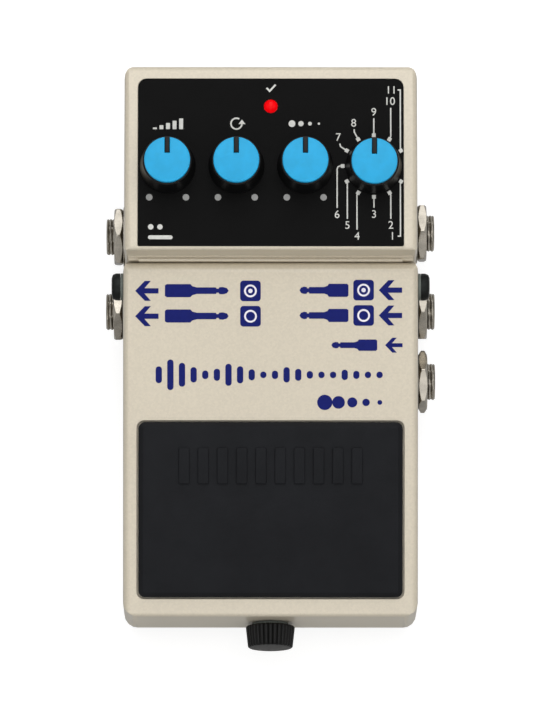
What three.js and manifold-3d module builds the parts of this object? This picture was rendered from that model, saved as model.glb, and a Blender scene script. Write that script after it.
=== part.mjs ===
import * as THREE from 'three';
import { mergeVertices } from 'three/addons/utils/BufferGeometryUtils.js';
import Module from 'manifold-3d';

const wasm = await Module();
wasm.setup();

// A compact digital delay pedal: a die-cast chassis with four dials, five phone jacks and a hinged treadle.
// Millimetres. +X is the right side, +Y the rear, +Z up.
// The origin is the middle of the underside of the rubber base.

// Clearances and shared small sizes
const seatGap = 0.1;
const slipGap = 0.15;
const swingGap = 0.4;
const cutOver = 1.0;
const wall = 2.4;

// Overall form
const bodyWidth = 67.0;
const bodyRearY = 61.5;
const treadleFrontY = -61.75;
const treadleOverhang = 0.3;
const treadleWidth = bodyWidth + treadleOverhang * 2;

// Base: a rubber sheet on a steel plate
const rubberThickness = 2.2;
const plateThickness = 1.2;
const plateInset = 1.1;
const rubberInset = 0.7;
const baseCornerRadius = 2.6;
const baseScrewInsetX = 4.6;
const baseScrewInsetY = 4.6;
const baseScrewHeadRadius = 2.9;
const baseScrewHeadHeight = 1.5;
const baseScrewShankRadius = 1.25;
const baseScrewLength = 8.0;
const baseScrewRecessWidth = 1.1;
const baseScrewRecessDepth = 0.9;
const rubberHoleRadius = 3.7;
const postRadius = 3.6;
const postHeight = 11.5;
const frontPostInset = 2.6;

// Control section
const controlFrontY = 18.9;
const controlLength = bodyRearY - controlFrontY;
const panelSlope = 4.5;
const knobRowShare = 0.45188;
const knobRowY = controlFrontY + controlLength * knobRowShare;
const panelHeight = 49.6;
const controlSideRadius = 1.7;
const controlFrontRadius = 0.9;
const controlRearRadius = 1.8;
const controlCornerRadius = 2.8;
const ledgeDepth = 0.4;
const ledgeDrop = 0.56;
const shelfDrop = 0.9;
const shelfGap = 0.3;
const panelSideBorder = 3.15;
const panelRearBorder = 3.2;
const panelFrontBorder = 0.85;
const panelWidth = bodyWidth - panelSideBorder * 2;
const panelRearY = bodyRearY - panelRearBorder;
const panelFrontY = controlFrontY + panelFrontBorder;
const panelThickness = 0.6;
const panelProud = 0.1;
const panelRearCornerRadius = 2.0;
const panelFrontCornerRadius = 0.4;
const controlTopThickness = 2.6;

// Treadle
const treadleSlope = 13.0;
const treadleRearGap = 1.23;
const treadleRearY = controlFrontY - treadleRearGap;
const treadleRearZ = 42.66;
const ledgeZ = treadleRearZ - ledgeDrop;
const shelfZ = ledgeZ - shelfDrop;
const shelfDepth = treadleRearGap - shelfGap;
const treadleWall = 2.4;
const treadleRearRadius = 2.3;
const treadleFrontRadius = 1.2;
const treadleSideRadius = 1.9;
const treadleFrontCornerRadius = 3.3;
const treadleRearCornerRadius = 2.2;
const skirtDepth = 9.8;
const skirtFootReach = 7.25;
const skirtBreakReach = 16.75;
const skirtFootY = treadleFrontY + skirtFootReach;
const skirtBreakY = treadleFrontY + skirtBreakReach;
const skirtFootZ = 8.3;
const skirtRadius = 2.0;
const skirtGap = 0.6;
const rearLipDepth = 4.4;
const rearLipWall = 2.0;
const treadleRibWidth = 1.6;
const treadleRibDepth = 1.4;

// Pad and its recess, measured along the slope
const recessBorder = 3.1;
const recessWidth = treadleWidth - recessBorder * 2;
const recessLength = 41.0;
const recessFrontBorder = 3.8;
const recessDepth = 1.6;
const recessFloor = 1.6;
const recessCornerRadius = 1.7;
const padGap = 0.45;
const padProud = 0.35;
const padBevelHeight = 1.0;
const padBevelWidth = 1.1;
const padCornerRadius = 1.5;
const gripPitchShare = 0.07166;
const gripWidthShare = 0.568;
const gripPitch = recessWidth * gripPitchShare;
const gripWidth = gripPitch * gripWidthShare;
const gripLength = 8.3;
const gripHeight = 0.45;
const gripSlope = 9.0;

// Hinge of the treadle
const hingeInset = 4.67;
const hingeDrop = 7.06;
const hingeY = treadleRearY - hingeInset;
const hingeZ = treadleRearZ - hingeDrop;
const treadleTravel = 1.6;
const hingeShoulderRadius = 2.0;
const hingeThreadRadius = 1.55;
const hingeHeadRadius = 3.15;
const hingeHeadHeight = 1.95;
const hingeHeadRound = 1.0;
const roundMiddleShare = 0.293;
const hingeWasherThickness = 0.55;
const hingeThreadLength = 3.4;
const crossWidth = 1.0;
const crossLength = 3.6;
const crossDepth = 0.9;
const earRadius = 3.0;
const earDepth = 1.8;

// Inner rim of the chassis, under the treadle
const rimGap = 0.7;
const rimWall = 2.4;
const grooveReach = 3.47;
const grooveDrop = 6.86;
const grooveFrontY = treadleRearY - grooveReach;
const grooveFloorZ = treadleRearZ - grooveDrop;
const partitionThickness = 2.2;

// Thumbscrew and the bush that its tip runs in
const screwZ = 14.8;
const screwWasherRadius = 4.2;
const screwWasherThickness = 0.55;
const screwHeadBaseRadius = 5.7;
const screwHeadEndRadius = 5.15;
const screwHeadLength = 5.0;
const screwHeadEdge = 0.35;
const screwRibDepth = 0.28;
const screwShankRadius = 2.3;
const screwTipRadius = 2.0;
const screwTipRound = 0.5;
const screwInHead = 3.0;
const screwReach = 6.5;
const bushWall = 1.3;
const bushFlangeWidth = 1.4;
const bushFlangeThickness = 1.1;

// Return spring
const springRearward = 3.5;
const springWireRadius = 0.45;
const springCoilRadius = 3.55;
const springCupGap = 0.4;
const springCupWall = 1.4;
const springCupFloorZ = 19.6;
const springBossRadius = 2.5;
const springBossDepth = 3.0;

// Foot switch
const switchRearward = 11.0;
const switchWidth = 7.4;
const switchWindowGap = 0.4;
const buttonRadius = 2.0;
const buttonLength = 2.6;
const buttonStand = 1.3;
const pusherRadius = 2.8;
const pusherThickness = 1.3;
const pusherBossRadius = 1.5;
const contactGap = 0.12;

// Phone jacks
const jackZ = 16.5;
const leftRearJackY = 29.3;
const leftFrontJackY = 11.4;
const rightRearJackY = 30.2;
const rightMiddleJackY = 11.5;
const rightFrontJackY = -5.2;
const jackBushRadius = 4.25;
const jackBoreRadius = 3.25;
const jackProud = 4.65;
const jackBushEdge = 0.35;
const jackBodyWidth = 11.0;
const jackBodyHeight = 11.0;
const jackMiddleGap = 7.0;
const jackEndWall = 2.15;
const nutThickness = 2.0;
const nutAcrossFlats = 12.7;
const nutEdge = 0.45;
const jackWasherRadius = 7.0;
const jackWasherThickness = 0.65;

// Power socket
const socketPlaceShare = -0.22388;
const socketX = bodyWidth * socketPlaceShare;
const socketBodyWidth = 9.2;
const socketBodyLength = 11.0;
const socketNoseRadius = 4.4;
const socketNoseShy = 0.3;
const socketBoreRadius = 3.1;
const socketBoreDepth = 9.6;
const socketPinRadius = 1.0;
const socketPinShy = 1.2;

// Boards
const boardThickness = 1.6;
const boardInset = 3.1;
const mainBoardFrontY = -11.0;
const knobBoardDepth = 9.8;
const knobBoardFrontGap = 5.1;
const knobBoardRearGap = 5.0;
const knobBoardFrontY = controlFrontY + knobBoardFrontGap;
const knobBoardRearY = bodyRearY - knobBoardRearGap;

// Dials
const knobPitchShare = 0.25865;
const knobPitch = panelWidth * knobPitchShare;
const potKnobHeight = 9.0;
const modeKnobHeight = 7.7;
const knobGap = 0.4;
const knobSideGap = 2.94;
const skirtFlare = 0.56;
const skirtTaper = 0.2;
const skirtRim = 1.28;
const skirtFootRadius = (knobPitch - knobSideGap) / 2;
const skirtWaistRadius = skirtFootRadius - skirtFlare;
const skirtTopRadius = skirtWaistRadius - skirtTaper;
const skirtHollowRadius = skirtFootRadius - skirtRim;
const skirtHollowDepth = 1.0;
const capInset = 0.4;
const capSeatInset = 0.62;
const capRadius = skirtTopRadius - capInset;
const capThickness = 1.1;
const capEdge = 0.35;
const capSeatRadius = capRadius - capSeatInset;
const capSeatDepth = 0.7;
const pointerWidth = 1.15;
const pointerShare = 0.6935;
const pointerLength = capRadius * pointerShare;
const pointerShy = 0.12;
const shaftRadius = 3.0;
const potBodyGap = 6.1;
const potBodyWidth = knobPitch - potBodyGap;
const potBodyLength = 10.8;
const potBushRadius = 3.9;
const potBoreDepth = 2.2;

// Indicator
const ledShare = 0.777;
const ledY = controlFrontY + controlLength * ledShare;
const ledRadius = 1.5;
const ledProud = 1.1;
const ledCollarRadius = 1.95;
const ledCollarHeight = 1.2;

// Nine-volt battery, lying with its terminals to the right
const batteryWidth = 26.5;
const batteryHeight = 17.5;
const batteryEdgeRadius = 1.8;
const batteryFrontGap = 7.3;
const batteryRearGap = 0.6;
const batterySideGap = 0.6;
const clipSideGap = 4.6;
const terminalHeight = 2.2;
const terminalSpacing = 12.7;
const smallTerminalRadius = 2.8;
const largeTerminalRadius = 3.8;
const clipThickness = 4.6;
const clipLength = 24.0;
const clipHeight = 12.0;
const clipGap = 0.3;
const leadRadius = 1.1;
const leadPlaceShare = 0.63;
const leadNotchHeight = 4.4;
const leadNotchWidth = 4.0;

// Counts of sides
const roundSides = 24;
const jackSides = 16;
const smallSides = 12;
const screwRibs = 30;
const arcSteps = 2;
const springTurns = 6;
const springStepsPerTurn = 10;
const wireSides = 6;
const leadSteps = 14;
const leadSides = 6;
const grips = 10;

// Levels and places that follow from the sizes above
const quarterTurn = Math.PI / 2;
const panelTilt = THREE.MathUtils.degToRad(panelSlope);
const treadleTilt = THREE.MathUtils.degToRad(treadleSlope);
const travel = THREE.MathUtils.degToRad(treadleTravel);
const recessReach = (recessLength * Math.cos(treadleTilt)) / 2;
const recessCentreY = treadleFrontY + recessFrontBorder + recessReach;
const springY = recessCentreY + recessReach + springRearward;
const switchY = recessCentreY + recessReach + switchRearward;
const plateLow = rubberThickness + seatGap;
const chassisLow = plateLow + plateThickness + seatGap;
const innerHalfWidth = bodyWidth / 2 - wall;
const rimHalfWidth = treadleWidth / 2 - treadleWall - rimGap;
const rimInnerHalfWidth = rimHalfWidth - rimWall;
const pressShift = (hingeZ - skirtFootZ) * Math.sin(travel);
const rimFrontY = treadleFrontY + treadleWall + pressShift + swingGap;
const batteryFrontY = rimFrontY + rimWall + batteryFrontGap;
const partitionFrontY = batteryFrontY + batteryWidth + batteryRearGap;
const partitionRearY = partitionFrontY + partitionThickness;
const controlInnerY = controlFrontY + wall;
const rearInnerY = bodyRearY - wall;
const plateFrontY = rimFrontY - wall + plateInset;
const plateRearY = bodyRearY - plateInset;
const plateHalfWidth = bodyWidth / 2 - plateInset;
const mainBoardLow = jackZ + jackBodyHeight / 2 + swingGap;
const mainBoardTop = mainBoardLow + boardThickness;
const switchArm = hingeY - switchY;
const tipDrop = (hingeY - treadleFrontY) * Math.sin(travel);
const batteryLeftX = batterySideGap - rimInnerHalfWidth;
const clipX = rimInnerHalfWidth - clipSideGap - clipThickness;
const batteryLength = clipX - clipGap - batteryLeftX;
const leadX = clipX + clipThickness * leadPlaceShare;
const switchX = (treadleWidth - treadleWall) / 4;
const jackBodyLength = innerHalfWidth - seatGap - jackMiddleGap;
const jackBoreDepth = jackProud + wall + seatGap + jackBodyLength - jackEndWall;
const batteryLow = chassisLow + swingGap;
const batteryMiddleY = batteryFrontY + batteryWidth / 2;
const batteryMiddleZ = batteryLow + batteryHeight / 2;

// Height of the control face over a place on the Y axis.
const panelZ = (y) => panelHeight + (y - knobRowY) * Math.tan(panelTilt);

// Height of the treadle's top face at rest over a place on the Y axis, and of a level some depth under it.
const treadleTop = (y) => treadleRearZ - (treadleRearY - y) * Math.tan(treadleTilt);
const underTreadle = (y, depth) => treadleTop(y) - depth / Math.cos(treadleTilt);

// The spring's upper seat is level with the lowest part of the recess floor over it.
const springOuterRadius = springCoilRadius + springWireRadius;
const springSeatZ = underTreadle(springY - springOuterRadius, recessDepth + recessFloor);

// Where a point of the treadle's side profile goes when the treadle is pressed to its stop.
function pressed(y, z) {
  const offsetY = y - hingeY;
  const offsetZ = z - hingeZ;
  return [
    hingeY + offsetY * Math.cos(travel) - offsetZ * Math.sin(travel),
    hingeZ + offsetY * Math.sin(travel) + offsetZ * Math.cos(travel),
  ];
}

// Top of the chassis deck: it clears the thick floor of the pad recess with the treadle pressed.
function deckZ(y) {
  const lowest = pressed(y, underTreadle(y, recessDepth + recessFloor));
  return lowest[1] - swingGap;
}

// Top of the chassis side walls: the pressed lower edge of the treadle's skirt, less a gap.
function tubZ(y) {
  const lowest = pressed(y, underTreadle(y, skirtDepth));
  return lowest[1] - skirtGap;
}

// A finish for one kind of sub-part.
function finish(color, roughness, metalness) {
  return new THREE.MeshStandardMaterial({ color, roughness, metalness });
}

const paint = finish('#d3cbb8', 0.42, 0.25);
const panelBlack = finish('#1c1c1a', 0.5, 0.0);
const padRubber = finish('#242529', 0.85, 0.0);
const baseRubber = finish('#1b1b1c', 0.9, 0.0);
const zinc = finish('#a9a9a4', 0.35, 1.0);
const nickel = finish('#b8b2a8', 0.25, 1.0);
const darkSteel = finish('#3c3e3e', 0.5, 0.8);
const knobBlack = finish('#151617', 0.55, 0.0);
const capBlue = finish('#22aee6', 0.35, 0.0);
const indicatorRed = finish('#ff0010', 0.15, 0.0);
const nylon = finish('#5c625e', 0.6, 0.0);
const boardGreen = finish('#1f5a3a', 0.5, 0.0);
const moulding = finish('#222326', 0.6, 0.0);
const cellGrey = finish('#3a3d42', 0.4, 0.2);

// The signed volume of a closed triangle list, to see which way its faces point.
function signedVolume(positions, index) {
  const a = new THREE.Vector3();
  const b = new THREE.Vector3();
  const c = new THREE.Vector3();
  let sum = 0;
  for (let i = 0; i < index.length; i += 3) {
    a.fromArray(positions, index[i] * 3);
    b.fromArray(positions, index[i + 1] * 3);
    c.fromArray(positions, index[i + 2] * 3);
    sum += a.dot(b.cross(c));
  }
  return sum;
}

// A three.js geometry as a solid with merged corners and outward faces, moved by an optional matrix.
function solid(geometry, matrix = null) {
  const bare = geometry.clone();
  bare.deleteAttribute('normal');
  bare.deleteAttribute('uv');
  if (matrix) bare.applyMatrix4(matrix);
  const merged = mergeVertices(bare);
  const vertProperties = new Float32Array(merged.attributes.position.array);
  const triVerts = new Uint32Array(merged.index.array);
  if (signedVolume(vertProperties, triVerts) < 0) {
    for (let i = 0; i < triVerts.length; i += 3) {
      [triVerts[i], triVerts[i + 1]] = [triVerts[i + 1], triVerts[i]];
    }
  }
  return new wasm.Manifold(new wasm.Mesh({ numProp: 3, vertProperties, triVerts }));
}

// Joins solids into one.
function joined(...solids) {
  return solids.reduce((sum, each) => sum.add(each));
}

// Cuts solids away from the first one.
function cut(first, ...solids) {
  return solids.reduce((rest, each) => rest.subtract(each), first);
}

// Keeps what all the solids share.
function shared(...solids) {
  return solids.reduce((common, each) => common.intersect(each));
}

// A solid as a three.js geometry.
function geometryOf(manifold) {
  const mesh = manifold.getMesh();
  const geometry = new THREE.BufferGeometry();
  geometry.setAttribute('position', new THREE.BufferAttribute(new Float32Array(mesh.vertProperties), 3));
  geometry.setIndex(new THREE.BufferAttribute(new Uint32Array(mesh.triVerts), 1));
  geometry.computeVertexNormals();
  return geometry;
}

// A closed outline through the corners [x, y, radius], with an arc in each corner that has a radius.
function outline(corners) {
  const shape = new THREE.Shape();
  corners.forEach(([x, y, radius = 0], i) => {
    const before = corners[(i + corners.length - 1) % corners.length];
    const after = corners[(i + 1) % corners.length];
    const here = new THREE.Vector2(x, y);
    if (radius === 0) {
      if (i === 0) shape.moveTo(x, y);
      else shape.lineTo(x, y);
      return;
    }
    const back = new THREE.Vector2(before[0], before[1]).sub(here).normalize();
    const ahead = new THREE.Vector2(after[0], after[1]).sub(here).normalize();
    const half = Math.acos(THREE.MathUtils.clamp(back.dot(ahead), -1, 1)) / 2;
    const start = back.clone().multiplyScalar(radius / Math.tan(half)).add(here);
    const end = ahead.clone().multiplyScalar(radius / Math.tan(half)).add(here);
    const middle = back.clone().add(ahead).normalize().multiplyScalar(radius / Math.sin(half)).add(here);
    const from = Math.atan2(start.y - middle.y, start.x - middle.x);
    const to = Math.atan2(end.y - middle.y, end.x - middle.x);
    if (i === 0) shape.moveTo(start.x, start.y);
    shape.absarc(middle.x, middle.y, radius, from, to, back.cross(ahead) > 0);
  });
  return shape;
}

// A rectangle as an outline, with one radius for the low-y corners and one for the high-y corners.
function rectangle(lowX, highX, lowY, highY, lowRadius = 0, highRadius = lowRadius) {
  return outline([
    [lowX, lowY, lowRadius],
    [highX, lowY, lowRadius],
    [highX, highY, highRadius],
    [lowX, highY, highRadius],
  ]);
}

// An outline in plan, carried up from low to high.
function upward(shape, low, high) {
  const geometry = new THREE.ExtrudeGeometry(shape, {
    depth: high - low,
    bevelEnabled: false,
    curveSegments: arcSteps,
  });
  return geometry.translate(0, 0, low);
}

// An outline in side view, its x along Y and its y along Z, carried across from lowX to highX.
function across(shape, lowX, highX) {
  const turn = new THREE.Matrix4().makeBasis(
    new THREE.Vector3(0, 1, 0),
    new THREE.Vector3(0, 0, 1),
    new THREE.Vector3(1, 0, 0),
  );
  return upward(shape, lowX, highX).applyMatrix4(turn);
}

// An outline in front view, its x along X and its y along Z, carried along Y from lowY to highY.
function lengthwise(shape, lowY, highY) {
  return upward(shape, -highY, -lowY).rotateX(quarterTurn);
}

// A block between two corners.
function block(lowX, highX, lowY, highY, lowZ, highZ) {
  const geometry = new THREE.BoxGeometry(highX - lowX, highY - lowY, highZ - lowZ);
  return geometry.translate((lowX + highX) / 2, (lowY + highY) / 2, (lowZ + highZ) / 2);
}

// A round bar along Z at a place in plan.
function bar(radius, low, high, x = 0, y = 0, sides = roundSides) {
  const geometry = new THREE.CylinderGeometry(radius, radius, high - low, sides);
  return geometry.rotateX(quarterTurn).translate(x, y, (low + high) / 2);
}

// A round bar along X from lowX to highX, centred on a line given by y and z.
function crossbar(radius, lowX, highX, y, z, sides = roundSides) {
  return bar(radius, lowX, highX, 0, 0, sides).rotateY(quarterTurn).translate(0, y, z);
}

// A body of revolution about Z from [radius, height] pairs that start and end on the axis.
function turned(profile, sides = roundSides) {
  const points = profile.map(([radius, height]) => new THREE.Vector2(radius, height));
  return new THREE.LatheGeometry(points, sides).rotateX(quarterTurn);
}

// A ring about Z between two radii and two heights.
function ring(inner, outer, low, high, sides = roundSides) {
  const points = [[inner, low], [outer, low], [outer, high], [inner, high], [inner, low]];
  return turned(points, sides);
}

// Frames: the control face, and the treadle's top face at the middle of the pad recess.
function tilted(y, z, tilt) {
  return new THREE.Matrix4().makeRotationX(tilt).setPosition(0, y, z);
}
const panelFrame = tilted(knobRowY, panelHeight, panelTilt);
const padFrame = tilted(recessCentreY, treadleTop(recessCentreY), treadleTilt);

// Distance along the control face from the row of dials to a place on the Y axis.
const alongPanel = (y) => (y - knobRowY) / Math.cos(panelTilt);

const pedal = new THREE.Group();
const controls = new THREE.Group();
controls.applyMatrix4(panelFrame);
pedal.add(controls);

// Adds one named sub-part to a group.
function place(name, geometry, material, group = pedal) {
  const mesh = new THREE.Mesh(geometry, material);
  mesh.name = name;
  group.add(mesh);
  return mesh;
}

// The five jacks: their names, sides and places along the body.
const jacks = [
  { name: 'left_rear', side: -1, y: leftRearJackY },
  { name: 'left_front', side: -1, y: leftFrontJackY },
  { name: 'right_rear', side: 1, y: rightRearJackY },
  { name: 'right_middle', side: 1, y: rightMiddleJackY },
  { name: 'right_front', side: 1, y: rightFrontJackY },
];

// The four dials, from the left: three potentiometers and a rotary mode switch.
const dials = [
  { name: 'level', step: -1.5, height: potKnobHeight, source: 'level_pot' },
  { name: 'feedback', step: -0.5, height: potKnobHeight, source: 'feedback_pot' },
  { name: 'time', step: 0.5, height: potKnobHeight, source: 'time_pot' },
  { name: 'mode', step: 1.5, height: modeKnobHeight, source: 'mode_switch' },
].map((dial) => ({ ...dial, x: dial.step * knobPitch }));

// The frame of one jack: its local Z points out of the side wall.
function jackFrame({ side, y }) {
  const frame = new THREE.Matrix4().makeRotationY(side * quarterTurn);
  return frame.setPosition((side * bodyWidth) / 2, y, jackZ);
}

// The four base screws: the rear pair near the corners, the front pair behind the rim's front wall.
const baseScrewX = plateHalfWidth - baseScrewInsetX;
const baseScrews = [
  [-baseScrewX, plateRearY - baseScrewInsetY],
  [baseScrewX, plateRearY - baseScrewInsetY],
  [-baseScrewX + frontPostInset, rimFrontY + rimWall + postRadius / 2],
  [baseScrewX - frontPostInset, rimFrontY + rimWall + postRadius / 2],
];

// Size of the opening in the bush that the thumbscrew's tip travels in.
const slotHalfWidth = screwTipRadius + slipGap;
const slotTop = screwZ + slotHalfWidth;
const slotBottom = screwZ - tipDrop - slotHalfWidth - slipGap;

// Outer form of the control section: side profile, plan and cross-section rounded on their own edges.
function controlBlock() {
  const low = chassisLow;
  const profile = outline([
    [controlFrontY, low],
    [bodyRearY, low],
    [bodyRearY, panelZ(bodyRearY), controlRearRadius],
    [controlFrontY, panelZ(controlFrontY), controlFrontRadius],
  ]);
  const half = bodyWidth / 2;
  const plan = rectangle(-half, half, controlFrontY, bodyRearY, controlFrontRadius, controlCornerRadius);
  const section = rectangle(-half, half, -panelHeight * 2, 0, 0, controlSideRadius);
  const reach = bodyRearY - controlFrontY;
  return shared(
    solid(across(profile, -half, half)),
    solid(upward(plan, low, panelHeight * 2)),
    solid(lengthwise(section, -reach, reach), panelFrame),
  );
}

// The low tub under the treadle: full width, its top following the treadle's skirt.
function tub() {
  const half = bodyWidth / 2;
  const [footY, footZ] = pressed(skirtFootY, skirtFootZ);
  const [frontY, frontZ] = pressed(treadleFrontY, skirtFootZ);
  const [breakY, breakZ] = pressed(skirtBreakY, underTreadle(skirtBreakY, skirtDepth));
  const profile = outline([
    [rimFrontY - wall, chassisLow],
    [controlInnerY, chassisLow],
    [controlInnerY, tubZ(controlInnerY)],
    [breakY + skirtGap, breakZ - skirtGap, skirtRadius],
    [footY + skirtGap, footZ - skirtGap, skirtRadius],
    [rimFrontY - wall, frontZ - skirtGap],
  ]);
  const plan = rectangle(-half, half, frontY, bodyRearY, treadleFrontCornerRadius, controlCornerRadius);
  return shared(solid(across(profile, -half, half)), solid(upward(plan, chassisLow, panelHeight)));
}

// The narrower rim and deck inside the treadle's skirt, with the groove behind the treadle.
function innerRim() {
  const profile = outline([
    [rimFrontY, chassisLow],
    [controlInnerY, chassisLow],
    [controlInnerY, grooveFloorZ],
    [grooveFrontY, grooveFloorZ],
    [grooveFrontY, deckZ(grooveFrontY)],
    [rimFrontY, deckZ(rimFrontY)],
  ]);
  const plan = rectangle(-rimHalfWidth, rimHalfWidth, rimFrontY, controlInnerY, treadleRearCornerRadius, 0);
  return shared(
    solid(across(profile, -rimHalfWidth, rimHalfWidth)),
    solid(upward(plan, chassisLow, panelHeight)),
  );
}

// The ledge under the control section's front face.
// Below it a shelf closes the gap to the treadle.
function ledge() {
  const half = bodyWidth / 2 - controlFrontRadius;
  const low = grooveFloorZ - wall;
  return joined(
    solid(block(-half, half, controlFrontY - ledgeDepth, controlInnerY, low, ledgeZ)),
    solid(block(-half, half, controlFrontY - shelfDepth, controlInnerY, low, shelfZ)),
  );
}

// The hollow of the chassis behind the partition.
function rearHollow() {
  const low = chassisLow - cutOver;
  const wide = outline([
    [partitionRearY, low],
    [rearInnerY, low],
    [rearInnerY, panelZ(rearInnerY) - controlTopThickness],
    [controlInnerY, panelZ(controlInnerY) - controlTopThickness],
    [controlInnerY, tubZ(controlInnerY) - wall],
    [partitionRearY, tubZ(partitionRearY) - wall],
  ]);
  const narrow = outline([
    [partitionRearY, low],
    [controlInnerY + cutOver, low],
    [controlInnerY + cutOver, grooveFloorZ - wall],
    [partitionRearY, deckZ(partitionRearY) - wall],
  ]);
  return joined(
    solid(across(wide, -innerHalfWidth, innerHalfWidth)),
    solid(across(narrow, -rimInnerHalfWidth, rimInnerHalfWidth)),
  );
}

// The battery bay in front of the partition, open at the top for the battery.
function batteryBay() {
  const low = chassisLow - cutOver;
  const frontY = rimFrontY + rimWall;
  const bay = block(-rimInnerHalfWidth, rimInnerHalfWidth, frontY, partitionFrontY, low, panelHeight);
  const wide = outline([
    [skirtBreakY + wall, low],
    [partitionFrontY, low],
    [partitionFrontY, tubZ(partitionFrontY) - wall],
    [skirtBreakY + wall, tubZ(skirtBreakY + wall) - wall],
  ]);
  return joined(solid(bay), solid(across(wide, -innerHalfWidth, innerHalfWidth)));
}

// Everything that stands inside the chassis: screw posts, spring cup and hinge ears.
function chassisBosses() {
  const cupRadius = springOuterRadius + springCupGap + springCupWall;
  const cupTop = deckZ(springY) - wall / 2;
  const posts = baseScrews.map(([x, y]) => {
    return solid(bar(postRadius, chassisLow, chassisLow + postHeight, x, y, smallSides));
  });
  const ears = [-1, 1].map((side) => {
    const inner = side * (rimInnerHalfWidth - earDepth);
    const outer = side * rimHalfWidth;
    const low = Math.min(inner, outer);
    const high = Math.max(inner, outer);
    return solid(crossbar(earRadius, low, high, hingeY, hingeZ, jackSides));
  });
  const cup = solid(bar(cupRadius, springCupFloorZ - springCupWall, cupTop, 0, springY));
  return joined(cup, ...posts, ...ears);
}

// The holes through the control face, for the dials, the indicator and the face plate's recess.
function controlCuts() {
  const half = panelWidth / 2 + seatGap;
  const rear = alongPanel(panelRearY) + seatGap;
  const front = alongPanel(panelFrontY) - seatGap;
  const recess = rectangle(-half, half, front, rear, panelFrontCornerRadius, panelRearCornerRadius);
  const recessLow = panelProud - panelThickness - seatGap;
  const holes = dials.map(({ x }) => {
    const hole = bar(potBushRadius + slipGap * 2, -controlTopThickness * 2, cutOver, x, 0, jackSides);
    return solid(hole, panelFrame);
  });
  const led = bar(ledRadius + slipGap, -controlTopThickness * 2, cutOver, 0, alongPanel(ledY), smallSides);
  return joined(solid(upward(recess, recessLow, cutOver), panelFrame), solid(led, panelFrame), ...holes);
}

// The holes through the walls: jacks, power socket, hinge screws, bush, spring cup, switch and battery lead.
function wallCuts() {
  const reach = bodyWidth / 2 + cutOver;
  const cuts = jacks.map((jack) => {
    return solid(bar(jackBushRadius + slipGap, -wall * 2, cutOver, 0, 0, jackSides), jackFrame(jack));
  });
  const mouthRadius = socketNoseRadius + slipGap;
  const socket = bar(mouthRadius, -bodyRearY - cutOver, -rearInnerY + cutOver, 0, 0, jackSides);
  cuts.push(solid(socket.rotateX(quarterTurn).translate(socketX, 0, jackZ)));
  cuts.push(solid(crossbar(hingeThreadRadius + slipGap, -reach, reach, hingeY, hingeZ, smallSides)));
  const bushHalf = slotHalfWidth + bushWall + seatGap;
  const bushTop = slotTop + bushWall + seatGap;
  const bushBottom = slotBottom - bushWall - seatGap;
  const bushRearY = rimFrontY + rimWall + cutOver;
  cuts.push(solid(block(-bushHalf, bushHalf, rimFrontY - cutOver, bushRearY, bushBottom, bushTop)));
  const cupRadius = springOuterRadius + springCupGap;
  cuts.push(solid(bar(cupRadius, springCupFloorZ, panelHeight, 0, springY)));
  const window = switchWidth / 2 + switchWindowGap;
  const deckLow = deckZ(partitionRearY) - wall * 2;
  cuts.push(solid(block(
    switchX - window, switchX + window, switchY - window, switchY + window, deckLow, panelHeight,
  )));
  const notchHalf = leadNotchWidth / 2;
  const notchTop = mainBoardLow + leadRadius;
  cuts.push(solid(block(
    leadX - notchHalf, leadX + notchHalf, partitionFrontY - cutOver, partitionRearY + cutOver,
    notchTop - leadNotchHeight, notchTop,
  )));
  baseScrews.forEach(([x, y]) => {
    const top = chassisLow + baseScrewLength;
    cuts.push(solid(bar(baseScrewShankRadius + slipGap, chassisLow - cutOver, top, x, y, smallSides)));
  });
  return cuts;
}

function chassis() {
  const outer = joined(controlBlock(), tub(), innerRim(), ledge());
  const shell = cut(outer, rearHollow(), batteryBay());
  return geometryOf(cut(joined(shell, chassisBosses()), controlCuts(), ...wallCuts()));
}

// The steel plate that closes the chassis, with a hole for each base screw.
function basePlate() {
  const sheet = rectangle(-plateHalfWidth, plateHalfWidth, plateFrontY, plateRearY, baseCornerRadius);
  const holes = baseScrews.map(([x, y]) => {
    return solid(bar(baseScrewShankRadius + slipGap, plateLow - cutOver, chassisLow, x, y, smallSides));
  });
  return geometryOf(cut(solid(upward(sheet, plateLow, plateLow + plateThickness)), ...holes));
}

// The rubber sheet under the plate, cut out round each screw head.
function rubberBase() {
  const half = plateHalfWidth - rubberInset;
  const sheet = rectangle(-half, half, plateFrontY + rubberInset, plateRearY - rubberInset, baseCornerRadius);
  const holes = baseScrews.map(([x, y]) => {
    return solid(bar(rubberHoleRadius, -cutOver, plateLow, x, y, smallSides));
  });
  return geometryOf(cut(solid(upward(sheet, 0, rubberThickness)), ...holes));
}

// A cross-shaped recess for a screwdriver, cut down from the top level.
function crossRecess(width, length, depth, top) {
  const long = length / 2;
  const short = width / 2;
  return joined(
    solid(block(-long, long, -short, short, top - depth, top + cutOver)),
    solid(block(-short, short, -long, long, top - depth, top + cutOver)),
  );
}

// A base screw with its head down: the local Z runs from the head's face out of the plate.
function baseScrew() {
  const head = baseScrewHeadHeight;
  const edge = head / 3;
  const body = solid(turned([
    [0, -baseScrewLength + edge],
    [baseScrewShankRadius, -baseScrewLength + edge],
    [baseScrewShankRadius, 0],
    [baseScrewHeadRadius, 0],
    [baseScrewHeadRadius, head - edge],
    [baseScrewHeadRadius - edge, head],
    [0, head],
  ], smallSides));
  const recess = crossRecess(baseScrewRecessWidth, baseScrewHeadRadius, baseScrewRecessDepth, head);
  return geometryOf(cut(body, recess));
}

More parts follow.
